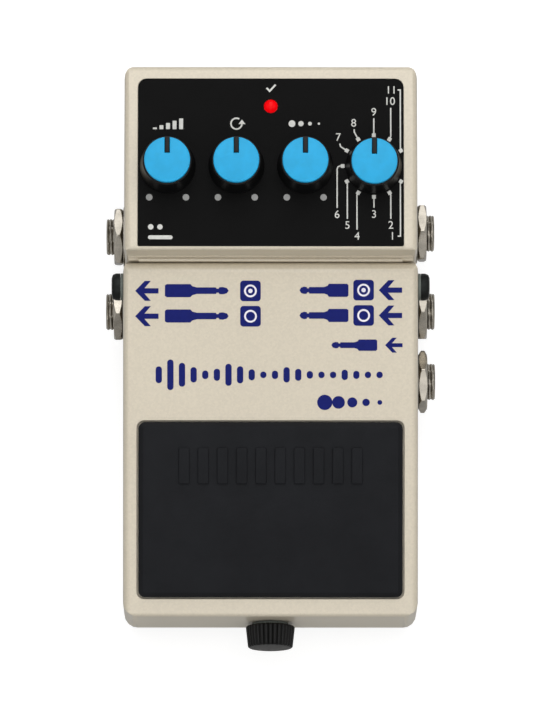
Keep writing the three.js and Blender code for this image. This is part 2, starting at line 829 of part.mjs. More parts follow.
// The printed face plate of the control section.
function facePlate() {
  const half = panelWidth / 2;
  const rear = alongPanel(panelRearY);
  const front = alongPanel(panelFrontY);
  const sheet = rectangle(-half, half, front, rear, panelFrontCornerRadius, panelRearCornerRadius);
  const low = panelProud - panelThickness;
  const holes = dials.map(({ x }) => {
    return solid(bar(shaftRadius + slipGap * 2, low - cutOver, cutOver, x, 0, jackSides));
  });
  const led = bar(ledRadius + slipGap, low - cutOver, cutOver, 0, alongPanel(ledY), smallSides);
  return geometryOf(cut(solid(upward(sheet, low, panelProud)), solid(led), ...holes));
}

// The outer form of the treadle: side profile, plan and cross-section rounded on their own edges.
function treadleForm() {
  const half = treadleWidth / 2;
  const profile = outline([
    [treadleFrontY, skirtFootZ, treadleFrontRadius / 2],
    [skirtFootY, skirtFootZ, skirtRadius],
    [skirtBreakY, underTreadle(skirtBreakY, skirtDepth), skirtRadius],
    [treadleRearY, underTreadle(treadleRearY, skirtDepth), skirtRadius],
    [treadleRearY, treadleTop(treadleRearY), treadleRearRadius],
    [treadleFrontY, treadleTop(treadleFrontY), treadleFrontRadius],
  ]);
  const plan = rectangle(
    -half, half, treadleFrontY, treadleRearY, treadleFrontCornerRadius, treadleRearCornerRadius,
  );
  const section = rectangle(-half, half, -treadleRearZ, 0, 0, treadleSideRadius);
  const reach = treadleRearY - treadleFrontY;
  return shared(
    solid(across(profile, -half, half)),
    solid(upward(plan, 0, panelHeight)),
    solid(lengthwise(section, -reach, reach), padFrame),
  );
}

// The hollow under the treadle's top, open below, and the gap under its rear lip.
function treadleHollow() {
  const half = treadleWidth / 2 - treadleWall;
  const frontY = treadleFrontY + treadleWall;
  const rearY = treadleRearY - rearLipWall;
  const inner = outline([
    [frontY, -cutOver],
    [rearY, -cutOver],
    [rearY, underTreadle(rearY, treadleWall)],
    [frontY, underTreadle(frontY, treadleWall)],
  ]);
  const plan = rectangle(
    -half, half, frontY, rearY, treadleFrontCornerRadius - treadleWall / 2, 0,
  );
  const lip = underTreadle(treadleRearY, rearLipDepth);
  return joined(
    shared(solid(across(inner, -half, half)), solid(upward(plan, -cutOver, panelHeight))),
    solid(block(-half, half, rearY - cutOver, treadleRearY + cutOver, -cutOver, lip)),
  );
}

// The thicker floor under the pad, in the frame of the pad.
function recessSlab() {
  const half = treadleWidth / 2 - treadleWall / 2;
  const reach = recessLength / 2 + treadleWall / 2;
  return solid(block(-half, half, -reach, reach, -recessDepth - recessFloor, -recessDepth / 2), padFrame);
}

// The stiffening ribs under the rear of the treadle, between its skirts.
function treadleRibs() {
  const half = treadleWidth / 2 - treadleWall / 2;
  const rearY = treadleRearY - rearLipWall;
  const frontY = recessCentreY + recessLength / 2;
  const places = [-2, -1, 1, 2].map((step) => (step * half) / 3);
  return places.map((x) => {
    const low = outline([
      [frontY, underTreadle(frontY, treadleWall + treadleRibDepth / 2)],
      [rearY, underTreadle(rearY, treadleWall + treadleRibDepth / 2)],
      [rearY, underTreadle(rearY, treadleWall / 2)],
      [frontY, underTreadle(frontY, treadleWall / 2)],
    ]);
    return solid(across(low, x - treadleRibWidth / 2, x + treadleRibWidth / 2));
  });
}

function treadle() {
  const shell = cut(treadleForm(), treadleHollow());
  const springUnder = underTreadle(springY, treadleWall / 2);
  const springBoss = joined(
    solid(bar(springOuterRadius, springSeatZ, springUnder, 0, springY)),
    solid(bar(springBossRadius, springSeatZ - springBossDepth, springUnder, 0, springY)),
  );
  const pusherUnder = underTreadle(switchY, treadleWall);
  const pusherBoss = bar(
    pusherBossRadius, pusherLow + pusherThickness / 2, pusherUnder + treadleWall / 2,
    switchX, switchY, smallSides,
  );
  const full = joined(shell, recessSlab(), springBoss, solid(pusherBoss), ...treadleRibs());
  const half = recessWidth / 2;
  const reach = recessLength / 2;
  const recess = upward(rectangle(-half, half, -reach, reach, recessCornerRadius), -recessDepth, cutOver);
  const side = treadleWidth / 2 + cutOver;
  const screwHole = bar(screwShankRadius + slipGap, -treadleWall * 2, cutOver, 0, 0, jackSides);
  return geometryOf(cut(
    full,
    solid(recess, padFrame),
    solid(crossbar(hingeShoulderRadius + slipGap, -side, side, hingeY, hingeZ, jackSides)),
    solid(screwHole.rotateX(quarterTurn).translate(0, treadleFrontY, screwZ)),
  ));
}

// The rubber pad with its bevelled edge and a row of plain raised grips, in the frame of the pad.
function treadlePad() {
  const half = recessWidth / 2 - padGap;
  const reach = recessLength / 2 - padGap;
  const low = -recessDepth + seatGap;
  const shape = rectangle(-half, half, -reach, reach, padCornerRadius);
  const height = padProud + padBevelHeight - low;
  const full = new THREE.ExtrudeGeometry(shape, {
    depth: height,
    curveSegments: arcSteps,
    bevelEnabled: true,
    bevelThickness: padBevelHeight,
    bevelSize: padBevelWidth,
    bevelOffset: -padBevelWidth,
    bevelSegments: 1,
  });
  full.translate(0, 0, padProud - height);
  const waste = block(-recessWidth, recessWidth, -recessLength, recessLength, low - height, low);
  const top = padProud + padBevelHeight;
  const lean = gripHeight * Math.tan(THREE.MathUtils.degToRad(gripSlope));
  const bars = Array.from({ length: grips }, (_, i) => {
    const x = (i - (grips - 1) / 2) * gripPitch;
    const bead = outline([
      [x - gripWidth / 2 - lean, top - gripHeight],
      [x + gripWidth / 2 + lean, top - gripHeight],
      [x + gripWidth / 2 - lean, top + gripHeight],
      [x - gripWidth / 2 + lean, top + gripHeight],
    ]);
    return solid(lengthwise(bead, -gripLength / 2 + gripRise, gripLength / 2 + gripRise));
  });
  return geometryOf(joined(cut(solid(full), solid(waste)), ...bars));
}

// The row of grips lies above the middle of the pad by a share of its length.
const gripRiseShare = 0.247;
const gripRise = recessLength * gripRiseShare;

// The pusher on the treadle and the switch below it, set from the treadle's underside down.
const pusherTop = underTreadle(switchY - pusherRadius, treadleWall) - seatGap;
const pusherLow = pusherTop - pusherThickness;
const buttonTop = pusherLow - contactGap;
const buttonLow = buttonTop - buttonLength;
const switchTop = buttonTop - buttonStand;
const buttonTravel = switchArm * Math.sin(travel);

function switchPusher() {
  const pad = bar(pusherRadius, pusherLow, pusherTop, switchX, switchY, smallSides);
  const hole = bar(
    pusherBossRadius + slipGap, pusherLow + pusherThickness / 2 - slipGap, pusherTop + cutOver,
    switchX, switchY, smallSides,
  );
  return geometryOf(cut(solid(pad), solid(hole)));
}

function footSwitch() {
  const half = switchWidth / 2;
  const body = block(
    switchX - half, switchX + half, switchY - half, switchY + half, mainBoardTop + seatGap, switchTop,
  );
  const bore = bar(
    buttonRadius + slipGap, buttonLow - buttonTravel - slipGap, switchTop + cutOver,
    switchX, switchY, smallSides,
  );
  return geometryOf(cut(solid(body), solid(bore)));
}

// The coil spring between the cup in the chassis and the treadle's underside.
function returnSpring() {
  const low = springCupFloorZ + seatGap + springWireRadius;
  const high = springSeatZ - seatGap - springWireRadius;
  const steps = springTurns * springStepsPerTurn;
  const points = Array.from({ length: steps + 1 }, (_, i) => {
    const angle = (i / springStepsPerTurn) * 2 * Math.PI;
    const x = springCoilRadius * Math.cos(angle);
    const y = springY + springCoilRadius * Math.sin(angle);
    return new THREE.Vector3(x, y, low + ((high - low) * i) / steps);
  });
  return swept(points, springWireRadius, wireSides, steps);
}

// A round section carried along a smooth curve through the points.
function swept(points, radius, sides, steps) {
  const section = new THREE.Shape(Array.from({ length: sides }, (_, i) => {
    const angle = (i / sides) * 2 * Math.PI;
    return new THREE.Vector2(radius * Math.cos(angle), radius * Math.sin(angle));
  }));
  return new THREE.ExtrudeGeometry(section, {
    steps,
    bevelEnabled: false,
    extrudePath: new THREE.CatmullRomCurve3(points),
  });
}

// A hinge screw: local Z points out of the side of the pedal, and zero is the treadle's side face.
function hingeScrew() {
  const washerTop = seatGap + hingeWasherThickness;
  const headLow = washerTop + seatGap;
  const top = headLow + hingeHeadHeight;
  const shoulderLow = -treadleWall - rimGap / 2;
  const middle = hingeHeadRound * roundMiddleShare;
  const body = solid(turned([
    [0, shoulderLow - hingeThreadLength],
    [hingeThreadRadius, shoulderLow - hingeThreadLength],
    [hingeThreadRadius, shoulderLow],
    [hingeShoulderRadius, shoulderLow],
    [hingeShoulderRadius, headLow],
    [hingeHeadRadius, headLow],
    [hingeHeadRadius, top - hingeHeadRound],
    [hingeHeadRadius - middle, top - middle],
    [hingeHeadRadius - hingeHeadRound, top],
    [0, top],
  ], jackSides));
  return geometryOf(cut(body, crossRecess(crossWidth, crossLength, crossDepth, top)));
}

function hingeWasher() {
  const inner = hingeShoulderRadius + slipGap;
  return ring(inner, hingeHeadRadius, seatGap, seatGap + hingeWasherThickness, jackSides);
}

// The ribbed head of the thumbscrew, drawn in towards its smooth end face, with a bore for the shank.
function thumbscrewHead() {
  const low = screwWasherThickness + seatGap * 2;
  const teeth = screwRibs * 2;
  const base = screwHeadBaseRadius - screwHeadEdge;
  const points = Array.from({ length: teeth }, (_, i) => {
    const angle = ((i + 1 / 2) / teeth) * 2 * Math.PI;
    const radius = i % 2 ? base : base - screwRibDepth;
    return new THREE.Vector2(radius * Math.cos(angle), radius * Math.sin(angle));
  });
  const geometry = new THREE.ExtrudeGeometry(new THREE.Shape(points), {
    depth: screwHeadLength - screwHeadEdge * 2,
    bevelEnabled: true,
    bevelThickness: screwHeadEdge,
    bevelSize: screwHeadEdge,
    bevelSegments: 1,
  });
  const position = geometry.attributes.position;
  const taper = 1 - screwHeadEndRadius / screwHeadBaseRadius;
  for (let i = 0; i < position.count; i += 1) {
    const level = position.getZ(i) + screwHeadEdge;
    const share = 1 - (taper * level) / screwHeadLength;
    position.setXYZ(i, position.getX(i) * share, position.getY(i) * share, level + low);
  }
  const bore = bar(screwShankRadius + slipGap, low - cutOver, low + screwInHead, 0, 0, smallSides);
  return geometryOf(cut(solid(geometry), solid(bore)));
}

// The steel shank: threaded through the treadle's front wall, with a plain tip in the bush.
function thumbscrewShank() {
  const top = screwWasherThickness + seatGap * 2 + screwInHead - slipGap;
  const shoulder = -treadleWall - slipGap;
  return turned([
    [0, -screwReach],
    [screwTipRadius - screwTipRound, -screwReach],
    [screwTipRadius, -screwReach + screwTipRound],
    [screwTipRadius, shoulder],
    [screwShankRadius, shoulder],
    [screwShankRadius, top],
    [0, top],
  ], jackSides);
}

function thumbscrewWasher() {
  const inner = screwShankRadius + slipGap;
  return ring(inner, screwWasherRadius, seatGap, seatGap + screwWasherThickness, jackSides);
}

// The nylon bush in the rim's front wall; its upright slot sets the treadle's travel.
function guideBush() {
  const half = slotHalfWidth + bushWall;
  const top = slotTop + bushWall;
  const bottom = slotBottom - bushWall;
  const flangeY = rimFrontY + rimWall + seatGap;
  const flangeRearY = flangeY + bushFlangeThickness;
  const body = joined(
    solid(block(-half, half, rimFrontY + seatGap, flangeRearY, bottom, top)),
    solid(block(
      -half - bushFlangeWidth, half + bushFlangeWidth, flangeY, flangeRearY, bottom - bushFlangeWidth, top,
    )),
  );
  const slot = outline([
    [-slotHalfWidth, slotBottom, slotHalfWidth - slipGap],
    [slotHalfWidth, slotBottom, slotHalfWidth - slipGap],
    [slotHalfWidth, slotTop, slotHalfWidth - slipGap],
    [-slotHalfWidth, slotTop, slotHalfWidth - slipGap],
  ]);
  return geometryOf(cut(body, solid(lengthwise(slot, rimFrontY - cutOver, flangeRearY + cutOver))));
}

// One phone jack: a threaded bush in the wall and a closed body behind it. Local Z points out of the wall.
function jackBody() {
  const top = -wall - seatGap;
  const low = top - jackBodyLength;
  const half = jackBodyWidth / 2;
  const rise = jackBodyHeight / 2;
  const bush = turned([
    [0, top - jackBushEdge],
    [jackBushRadius, top - jackBushEdge],
    [jackBushRadius, jackProud - jackBushEdge],
    [jackBushRadius - jackBushEdge, jackProud],
    [0, jackProud],
  ], jackSides);
  const box = block(-rise, rise, -half, half, low, top);
  const bore = bar(jackBoreRadius, jackProud - jackBoreDepth, jackProud + cutOver, 0, 0, jackSides);
  return geometryOf(cut(joined(solid(bush), solid(box)), solid(bore)));
}

// A hexagon nut with its corners turned off at both faces. Each sits at its own angle, as nuts do.
function jackNut(turn) {
  const low = jackWasherThickness + seatGap * 2;
  const high = low + nutThickness;
  const corner = nutAcrossFlats / Math.sqrt(3);
  const points = Array.from({ length: 6 }, (_, i) => {
    const angle = turn + (i / 6) * 2 * Math.PI;
    return new THREE.Vector2(corner * Math.cos(angle), corner * Math.sin(angle));
  });
  const envelope = turned([
    [0, low],
    [corner - nutEdge, low],
    [corner, low + nutEdge],
    [corner, high - nutEdge],
    [corner - nutEdge, high],
    [0, high],
  ], jackSides);
  const bore = bar(jackBushRadius + slipGap, low - cutOver, high + cutOver, 0, 0, jackSides);
  const hexagon = solid(upward(new THREE.Shape(points), low, high));
  return geometryOf(cut(shared(hexagon, solid(envelope)), solid(bore)));
}

function jackWasher() {
  return ring(jackBushRadius + slipGap, jackWasherRadius, seatGap, seatGap + jackWasherThickness, jackSides);
}

// The coaxial power socket: a moulded body with a round mouth in the rear wall and a pin inside it.
function powerSocket() {
  const half = socketBodyWidth / 2;
  const rise = jackBodyHeight / 2;
  const bodyRear = rearInnerY - seatGap;
  const mouth = bodyRearY - socketNoseShy;
  const boreEnd = mouth - socketBoreDepth;
  const along = (radius, low, high) => {
    return solid(bar(radius, -high, -low, 0, 0, jackSides).rotateX(quarterTurn).translate(socketX, 0, jackZ));
  };
  const box = block(
    socketX - half, socketX + half, bodyRear - socketBodyLength, bodyRear, jackZ - rise, jackZ + rise,
  );
  const outer = joined(solid(box), along(socketNoseRadius, bodyRear - seatGap, mouth));
  const pin = along(socketPinRadius, boreEnd - seatGap, mouth - socketPinShy);
  return geometryOf(joined(cut(outer, along(socketBoreRadius, boreEnd, mouth + cutOver)), pin));
}

// The main board over the jacks, notched round the spring cup.
function mainBoard() {
  const half = rimInnerHalfWidth - slipGap * 2;
  const notchHalf = springOuterRadius + springCupGap + springCupWall + swingGap;
  const rear = rearInnerY - seatGap * 2;
  const shape = outline([
    [-half, mainBoardFrontY],
    [-notchHalf, mainBoardFrontY],
    [-notchHalf, springY + notchHalf],
    [notchHalf, springY + notchHalf],
    [notchHalf, mainBoardFrontY],
    [half, mainBoardFrontY],
    [half, rear],
    [-half, rear],
  ]);
  return upward(shape, mainBoardLow, mainBoardTop);
}

// The board that carries the dials' potentiometers, parallel to the control face.
function knobBoard() {
  const half = bodyWidth / 2 - wall - boardInset / 2;
  const shape = rectangle(-half, half, alongPanel(knobBoardFrontY), alongPanel(knobBoardRearY));
  return upward(shape, -knobBoardDepth - boardThickness, -knobBoardDepth);
}

// A potentiometer or rotary switch on the knob board, with a bore for its shaft.
function potBody() {
  const top = -controlTopThickness - seatGap * 2;
  const halfWidth = potBodyWidth / 2;
  const halfLength = potBodyLength / 2;
  const box = block(-halfWidth, halfWidth, -halfLength, halfLength, -knobBoardDepth + seatGap, top);
  const bushTop = panelProud - panelThickness - seatGap * 2;
  const bush = bar(potBushRadius, top - seatGap, bushTop, 0, 0, jackSides);
  const bore = bar(shaftRadius + slipGap, top - potBoreDepth, bushTop + cutOver, 0, 0, jackSides);
  return geometryOf(cut(joined(solid(box), solid(bush)), solid(bore)));
}

function shaft(height) {
  const low = -controlTopThickness - potBoreDepth;
  return bar(shaftRadius, low, skirtTop(height) - capSeatDepth - slipGap - wall / 2, 0, 0, jackSides);
}

// Level of the top of a dial's skirt, where its cap begins.
const skirtTop = (height) => height - capThickness - seatGap;

// The black skirt of a dial: a flared foot, a slender waist, a seat for the cap and the pointer's fin.
function dialSkirt(height) {
  const top = skirtTop(height);
  const span = top - knobGap;
  const footShare = 0.16;
  const flareShare = 0.42;
  const profile = [
    [0, knobGap],
    [skirtFootRadius, knobGap],
    [skirtFootRadius, knobGap + span * footShare / 2],
    [(skirtFootRadius + skirtWaistRadius) / 2 + slipGap / 2, knobGap + span * footShare * 1.5],
    [skirtWaistRadius, knobGap + span * flareShare],
    [skirtTopRadius, top - capEdge],
    [skirtTopRadius - capEdge / 2, top],
    [0, top],
  ];
  const form = turned(profile);
  const hollow = bar(skirtHollowRadius, knobGap - cutOver, knobGap + skirtHollowDepth, 0, 0, smallSides);
  const socketTop = top - capSeatDepth - wall / 2;
  const socket = bar(shaftRadius + slipGap, knobGap - cutOver, socketTop, 0, 0, smallSides);
  const seat = bar(capSeatRadius + slipGap, top - capSeatDepth, top + cutOver, 0, 0, jackSides);
  const half = pointerWidth / 2 - slipGap;
  const fin = block(
    -half, half, capRadius - pointerLength + slipGap, capRadius - slipGap,
    top - capSeatDepth - seatGap, height - pointerShy,
  );
  return geometryOf(joined(cut(solid(form), solid(hollow), solid(socket), solid(seat)), solid(fin)));
}

// The coloured cap of a dial, slotted for the pointer.
function dialCap(height) {
  const low = height - capThickness;
  const form = turned([
    [0, low - capSeatDepth + seatGap],
    [capSeatRadius, low - capSeatDepth + seatGap],
    [capSeatRadius, low],
    [capRadius, low],
    [capRadius, height - capEdge],
    [capRadius - capEdge / 3, height - capEdge / 3],
    [capRadius - capEdge, height],
    [0, height],
  ]);
  const half = pointerWidth / 2;
  const slot = block(
    -half, half, capRadius - pointerLength, capRadius + cutOver,
    low - capSeatDepth - cutOver, height + cutOver,
  );
  return geometryOf(cut(solid(form), solid(slot)));
}

// The indicator's clear red lens with its collar on the board.
function indicator() {
  const low = -knobBoardDepth + seatGap;
  const dome = ledRadius;
  const base = ledProud - dome;
  const arc = Array.from({ length: 4 }, (_, i) => {
    const angle = (i / 4) * quarterTurn;
    return [dome * Math.cos(angle), base + dome * Math.sin(angle)];
  });
  return turned([
    [0, low],
    [ledCollarRadius, low],
    [ledCollarRadius, low + ledCollarHeight],
    [ledRadius, low + ledCollarHeight],
    ...arc,
    [0, ledProud],
  ], smallSides);
}

// The battery's can with its two terminals, lying on its side.
function battery() {
  const can = rectangle(
    batteryFrontY, batteryFrontY + batteryWidth, batteryLow, batteryLow + batteryHeight, batteryEdgeRadius,
  );
  const end = batteryLeftX + batteryLength;
  const foot = end - seatGap;
  const spread = terminalSpacing / 2;
  const tip = end + terminalHeight;
  return geometryOf(joined(
    solid(across(can, batteryLeftX, end)),
    solid(crossbar(smallTerminalRadius, foot, tip, batteryMiddleY - spread, batteryMiddleZ, smallSides)),
    solid(crossbar(largeTerminalRadius, foot, tip, batteryMiddleY + spread, batteryMiddleZ, smallSides)),
  ));
}

// The clip over the terminals.
function batteryClip() {
  const reach = clipLength / 2;
  const rise = clipHeight / 2;
  const body = block(
    clipX, clipX + clipThickness, batteryMiddleY - reach, batteryMiddleY + reach,
    batteryMiddleZ - rise, batteryMiddleZ + rise,
  );
  const spread = terminalSpacing / 2;
  const deep = clipX + terminalHeight + clipGap;
  const pocket = (radius, y) => {
    return solid(crossbar(radius + clipGap, clipX - cutOver, deep, y, batteryMiddleZ, smallSides));
  };
  return geometryOf(cut(
    solid(body),
    pocket(smallTerminalRadius, batteryMiddleY - spread),
    pocket(largeTerminalRadius, batteryMiddleY + spread),
  ));
}

// The battery lead, from the top of the clip through the notch in the partition to the main board's edge.
function batteryLead() {
  const startY = batteryMiddleY + clipLength / 4;
  const startZ = batteryMiddleZ + clipHeight / 2 + leadRadius + clipGap;
  const endY = mainBoardFrontY - clipGap;
  const endZ = mainBoardLow + boardThickness / 2;
  const notchZ = mainBoardLow + leadRadius - leadNotchHeight / 2;
  const points = [
    new THREE.Vector3(leadX, startY, startZ),
    new THREE.Vector3(leadX, (startY + partitionFrontY) / 2, (startZ + notchZ) / 2),
    new THREE.Vector3(leadX, partitionFrontY, notchZ),
    new THREE.Vector3(leadX, partitionRearY, notchZ),
    new THREE.Vector3(leadX, (partitionRearY + endY) / 2, (notchZ + endZ) / 2),
    new THREE.Vector3(leadX, endY, endZ),
  ];
  return swept(points, leadRadius, leadSides, leadSteps);
}

// Chassis, base and what is fixed inside
place('chassis', chassis(), paint);
place('base_plate', basePlate(), zinc);
place('rubber_base', rubberBase(), baseRubber);
baseScrews.forEach(([x, y], i) => {
  const screw = place(`base_screw_${i + 1}`, baseScrew(), zinc);
  screw.rotation.x = Math.PI;
  screw.position.set(x, y, plateLow - seatGap);
});
place('guide_bush', guideBush(), nylon);
place('main_board', mainBoard(), boardGreen);
place('foot_switch', footSwitch(), moulding);
place('return_spring', returnSpring(), zinc);
place('power_socket', powerSocket(), moulding);
place('battery', battery(), cellGrey);
place('battery_clip', batteryClip(), moulding);
place('battery_lead', batteryLead(), moulding);

// Control face
place('face_plate', facePlate(), panelBlack, controls);
place('knob_board', knobBoard(), boardGreen, controls);
const lens = place('indicator_lens', indicator(), indicatorRed, controls);
lens.position.y = alongPanel(ledY);
dials.forEach(({ name, x, height, source }) => {
  const dial = new THREE.Group();
  dial.position.x = x;
  controls.add(dial);
  place(source, potBody(), moulding, dial);
  place(`${name}_shaft`, shaft(height), zinc, dial);
  place(`${name}_knob`, dialSkirt(height), knobBlack, dial);
  place(`${name}_cap`, dialCap(height), capBlue, dial);
});

// Jacks with their washers and nuts
const nutTurns = [51, 45, 8, 12, 49];
jacks.forEach((jack, i) => {
  const group = new THREE.Group();
  group.applyMatrix4(jackFrame(jack));
  pedal.add(group);
  place(`${jack.name}_jack`, jackBody(), nickel, group);
  place(`${jack.name}_washer`, jackWasher(), nickel, group);
  place(`${jack.name}_nut`, jackNut(THREE.MathUtils.degToRad(nutTurns[i])), nickel, group);
});

// Treadle, its pad and what turns or presses with it
place('treadle', treadle(), paint);
const padGroup = new THREE.Group();
padGroup.applyMatrix4(padFrame);
pedal.add(padGroup);
place('treadle_pad', treadlePad(), padRubber, padGroup);
place('switch_pusher', switchPusher(), nylon);
const button = bar(buttonRadius, buttonLow, buttonTop, switchX, switchY, smallSides);
place('switch_button', button, knobBlack);

[['left', -1], ['right', 1]].forEach(([name, side]) => {
  const hinge = new THREE.Group();
  hinge.position.set((side * treadleWidth) / 2, hingeY, hingeZ);
  hinge.rotation.y = side * quarterTurn;
  pedal.add(hinge);
  place(`${name}_hinge_screw`, hingeScrew(), darkSteel, hinge);
  place(`${name}_hinge_washer`, hingeWasher(), nylon, hinge);
});

const thumbscrew = new THREE.Group();
thumbscrew.position.set(0, treadleFrontY, screwZ);
thumbscrew.rotation.x = quarterTurn;
pedal.add(thumbscrew);
place('thumbscrew_head', thumbscrewHead(), knobBlack, thumbscrew);
place('thumbscrew_shank', thumbscrewShank(), zinc, thumbscrew);
place('thumbscrew_washer', thumbscrewWasher(), nylon, thumbscrew);

export default pedal;
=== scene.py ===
"""A compact digital delay pedal with a hinged treadle, four dials and five phone jacks, dressed on its frame.

Pieces stand in the frame's own coordinates: +X right, +Y rear, +Z up, and the origin is the middle of the
rubber base's underside. Shapes and patterns are worked out in millimetres, and become metres in the mesh.
"""

import math

import bpy
import numpy as np
from mathutils import Matrix, Vector


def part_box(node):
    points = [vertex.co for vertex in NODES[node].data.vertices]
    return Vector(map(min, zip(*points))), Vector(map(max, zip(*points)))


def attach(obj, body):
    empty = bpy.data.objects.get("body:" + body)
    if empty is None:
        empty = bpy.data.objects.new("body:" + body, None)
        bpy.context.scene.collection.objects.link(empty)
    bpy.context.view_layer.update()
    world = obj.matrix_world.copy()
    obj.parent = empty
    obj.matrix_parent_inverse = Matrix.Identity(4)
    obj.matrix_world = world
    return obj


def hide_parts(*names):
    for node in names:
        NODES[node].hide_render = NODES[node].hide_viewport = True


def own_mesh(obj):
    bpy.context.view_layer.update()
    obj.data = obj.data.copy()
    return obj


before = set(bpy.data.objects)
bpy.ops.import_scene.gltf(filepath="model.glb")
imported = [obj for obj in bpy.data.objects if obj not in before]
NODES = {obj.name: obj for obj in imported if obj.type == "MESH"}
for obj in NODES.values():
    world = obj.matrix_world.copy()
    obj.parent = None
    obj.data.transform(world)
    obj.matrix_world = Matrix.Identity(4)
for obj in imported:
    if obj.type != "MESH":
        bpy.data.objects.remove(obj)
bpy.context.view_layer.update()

bl_info = {
    "name": "Digital Delay Pedal",
    "version": (1, 0, 0),
    "blender": (4, 5, 0),
    "location": "3D View > Sidebar > Pedal",
    "description": "Dresses the frame of a compact delay pedal with its finishes, dials, jacks and marks",
    "category": "Add Mesh",
}

MM = 0.001

# Slopes in degrees, and the rear edge of the treadle's top face as (y, z) in millimetres
PANEL_TILT = 4.5
TREADLE_TILT = 13.0
TREADLE_REAR = (17.67, 42.66)

POTS = ("level", "feedback", "time")
DIALS = (*POTS, "mode")

# Degrees that each jack's nut is turned, and the return spring's turns of wire
NUT_TURNS = {"left_rear": 51, "left_front": 45, "right_rear": 8, "right_middle": 12, "right_front": 49}
SPRING_TURNS = 6


def ends(node):
    """The lowest and highest corners of a CAD node, in millimetres."""
    return [np.array(corner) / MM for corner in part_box(node)]


def middle(node):
    """The middle of a CAD node's box, in millimetres."""
    return sum(ends(node)) / 2


def linear(code):
    """An sRGB hex value such as #D3CBB8 as linear red, green, blue and an alpha of one."""
    parts = np.array([int(code[i : i + 2], 16) for i in (1, 3, 5)]) / 255
    lit = np.where(parts <= 0.04045, parts / 12.92, ((parts + 0.055) / 1.055) ** 2.4)
    return (*[float(value) for value in lit], 1.0)


# Sizes and colours that a user would change


def length(name, description, millimetres):
    """A length property whose default is given in millimetres."""
    return bpy.props.FloatProperty(
        name=name, description=description, default=millimetres * MM, unit="LENGTH", precision=5
    )


def colour(name, description, code):
    """A colour property whose default is an sRGB hex value."""
    return bpy.props.FloatVectorProperty(
        name=name, description=description, default=linear(code), size=4, subtype="COLOR", min=0, max=1
    )


class PedalSizes(bpy.types.PropertyGroup):
    """Sizes of the pieces that are drawn finer than the frame."""

    dial_row: length("Dial row", "Place of the row of dials along the body", 38.15)
    panel_level: length("Panel level", "Height of the control face at the row of dials", 49.6)
    pot_height: length("Dial height", "Height of the three potentiometer dials over the control face", 9.0)
    mode_height: length("Mode dial height", "Height of the mode dial over the control face", 7.7)
    skirt_foot: length("Skirt foot", "Radius of a dial's skirt at its foot", 6.38)
    skirt_waist: length("Skirt waist", "Radius of a dial's skirt at its waist", 5.82)
    skirt_top: length("Skirt top", "Radius of a dial's skirt under its cap", 5.62)
    cap_radius: length("Cap radius", "Radius of a dial's coloured cap", 5.22)
    cap_thickness: length("Cap thickness", "Thickness of a dial's coloured cap", 1.1)
    pointer_width: length("Pointer width", "Width of the slot for the pointer", 1.15)
    pointer_length: length("Pointer length", "Length of the pointer from the rim inwards", 3.62)
    lamp_row: length("Lamp row", "Place of the indicator along the body", 52.0)
    lamp_radius: length("Lamp radius", "Radius of the indicator's dome", 1.5)
    lamp_rise: length("Lamp rise", "Height of the indicator over the control face", 1.1)
    pad_centre: length("Pad centre", "Place of the middle of the pad along the body", -37.98)
    pad_width: length("Pad width", "Width of the rubber pad", 60.5)
    pad_length: length("Pad length", "Length of the rubber pad along the slope", 40.1)
    pad_corner: length("Pad corner", "Radius of the pad's corners", 1.5)
    pad_edge: length("Pad edge", "Width of the pad's sloping edge", 1.1)
    pad_rise: length("Pad rise", "Height of the pad over the treadle's face", 1.35)
    grip_pitch: length("Grip pitch", "Distance between neighbouring grips of the pad", 4.4)
    grip_width: length("Grip width", "Width of a grip of the pad", 2.5)
    grip_length: length("Grip length", "Length of a grip of the pad", 8.3)
    grip_rise: length("Grip rise", "Height of a grip over the pad", 0.45)
    thread_pitch: length("Jack thread pitch", "Pitch of the thread on a jack's bush", 0.79)
    thread_depth: length("Jack thread depth", "Depth of the thread on a jack's bush", 0.26)
    nut_flats: length("Nut width", "Width of a jack's nut across its flats", 12.7)
    spring_wire: length("Spring wire", "Diameter of the return spring's wire", 0.9)
    print_thickness: length("Print thickness", "Thickness of the printed marks", 0.03)


class PedalColours(bpy.types.PropertyGroup):
    """Colours of the finishes."""

    enamel: colour("Enamel", "Pearl cream of the castings", "#D2C8B4")
    face: colour("Face plate", "Black of the control face", "#080808")
    pad: colour("Pad", "Charcoal of the rubber pad", "#18191C")
    skirt: colour("Dial skirt", "Black of the dials' skirts", "#0B0B0C")
    cap: colour("Dial cap", "Bright blue of the dials' caps", "#22A6DA")
    ink: colour("Treadle ink", "Navy of the marks on the treadle", "#101A68")
    pale: colour("Treadle pale ink", "Off-white of the rings on the treadle", "#ECE8F0")
    legend: colour("Panel ink", "Light grey of the marks on the control face", "#D4D4CF")
    dot: colour("Panel dots", "Grey of the end dots of the dials", "#A2A2A0")
    lamp: colour("Lamp", "Red of the indicator", "#F5060F")


class Millimetres:
    """The size properties, read in millimetres."""

    def __getattr__(self, name):
        return getattr(bpy.context.scene.pedal_sizes, name) / MM


class PedalPart:
    """What the operators share."""

    bl_options = {"REGISTER", "UNDO"}
    sizes = Millimetres()

    @property
    def colours(self):
        return bpy.context.scene.pedal_colours

    def mark(self, outline, lift=0.0):
        """A printed shape from its outline, a lift above its frame."""
        return tower(outline, [(0.0, lift), (0.0, lift + self.sizes.print_thickness)])


# Frames: a matrix that carries a shape to its place, in millimetres


def turn_x(degrees, y=0.0, z=0.0):
    """A frame turned about X and moved: local Z leans by that angle."""
    c, s = math.cos(math.radians(degrees)), math.sin(math.radians(degrees))
    return np.array([[1, 0, 0, 0], [0, c, -s, y], [0, s, c, z], [0, 0, 0, 1.0]])


def side_frame(x, y, z):
    """A frame whose local Z points out of the pedal's left or right side, by the sign of x."""
    side = math.copysign(1.0, x)
    return np.array([[0, 0, side, x], [0, 1, 0, y], [-side, 0, 0, z], [0, 0, 0, 1.0]])


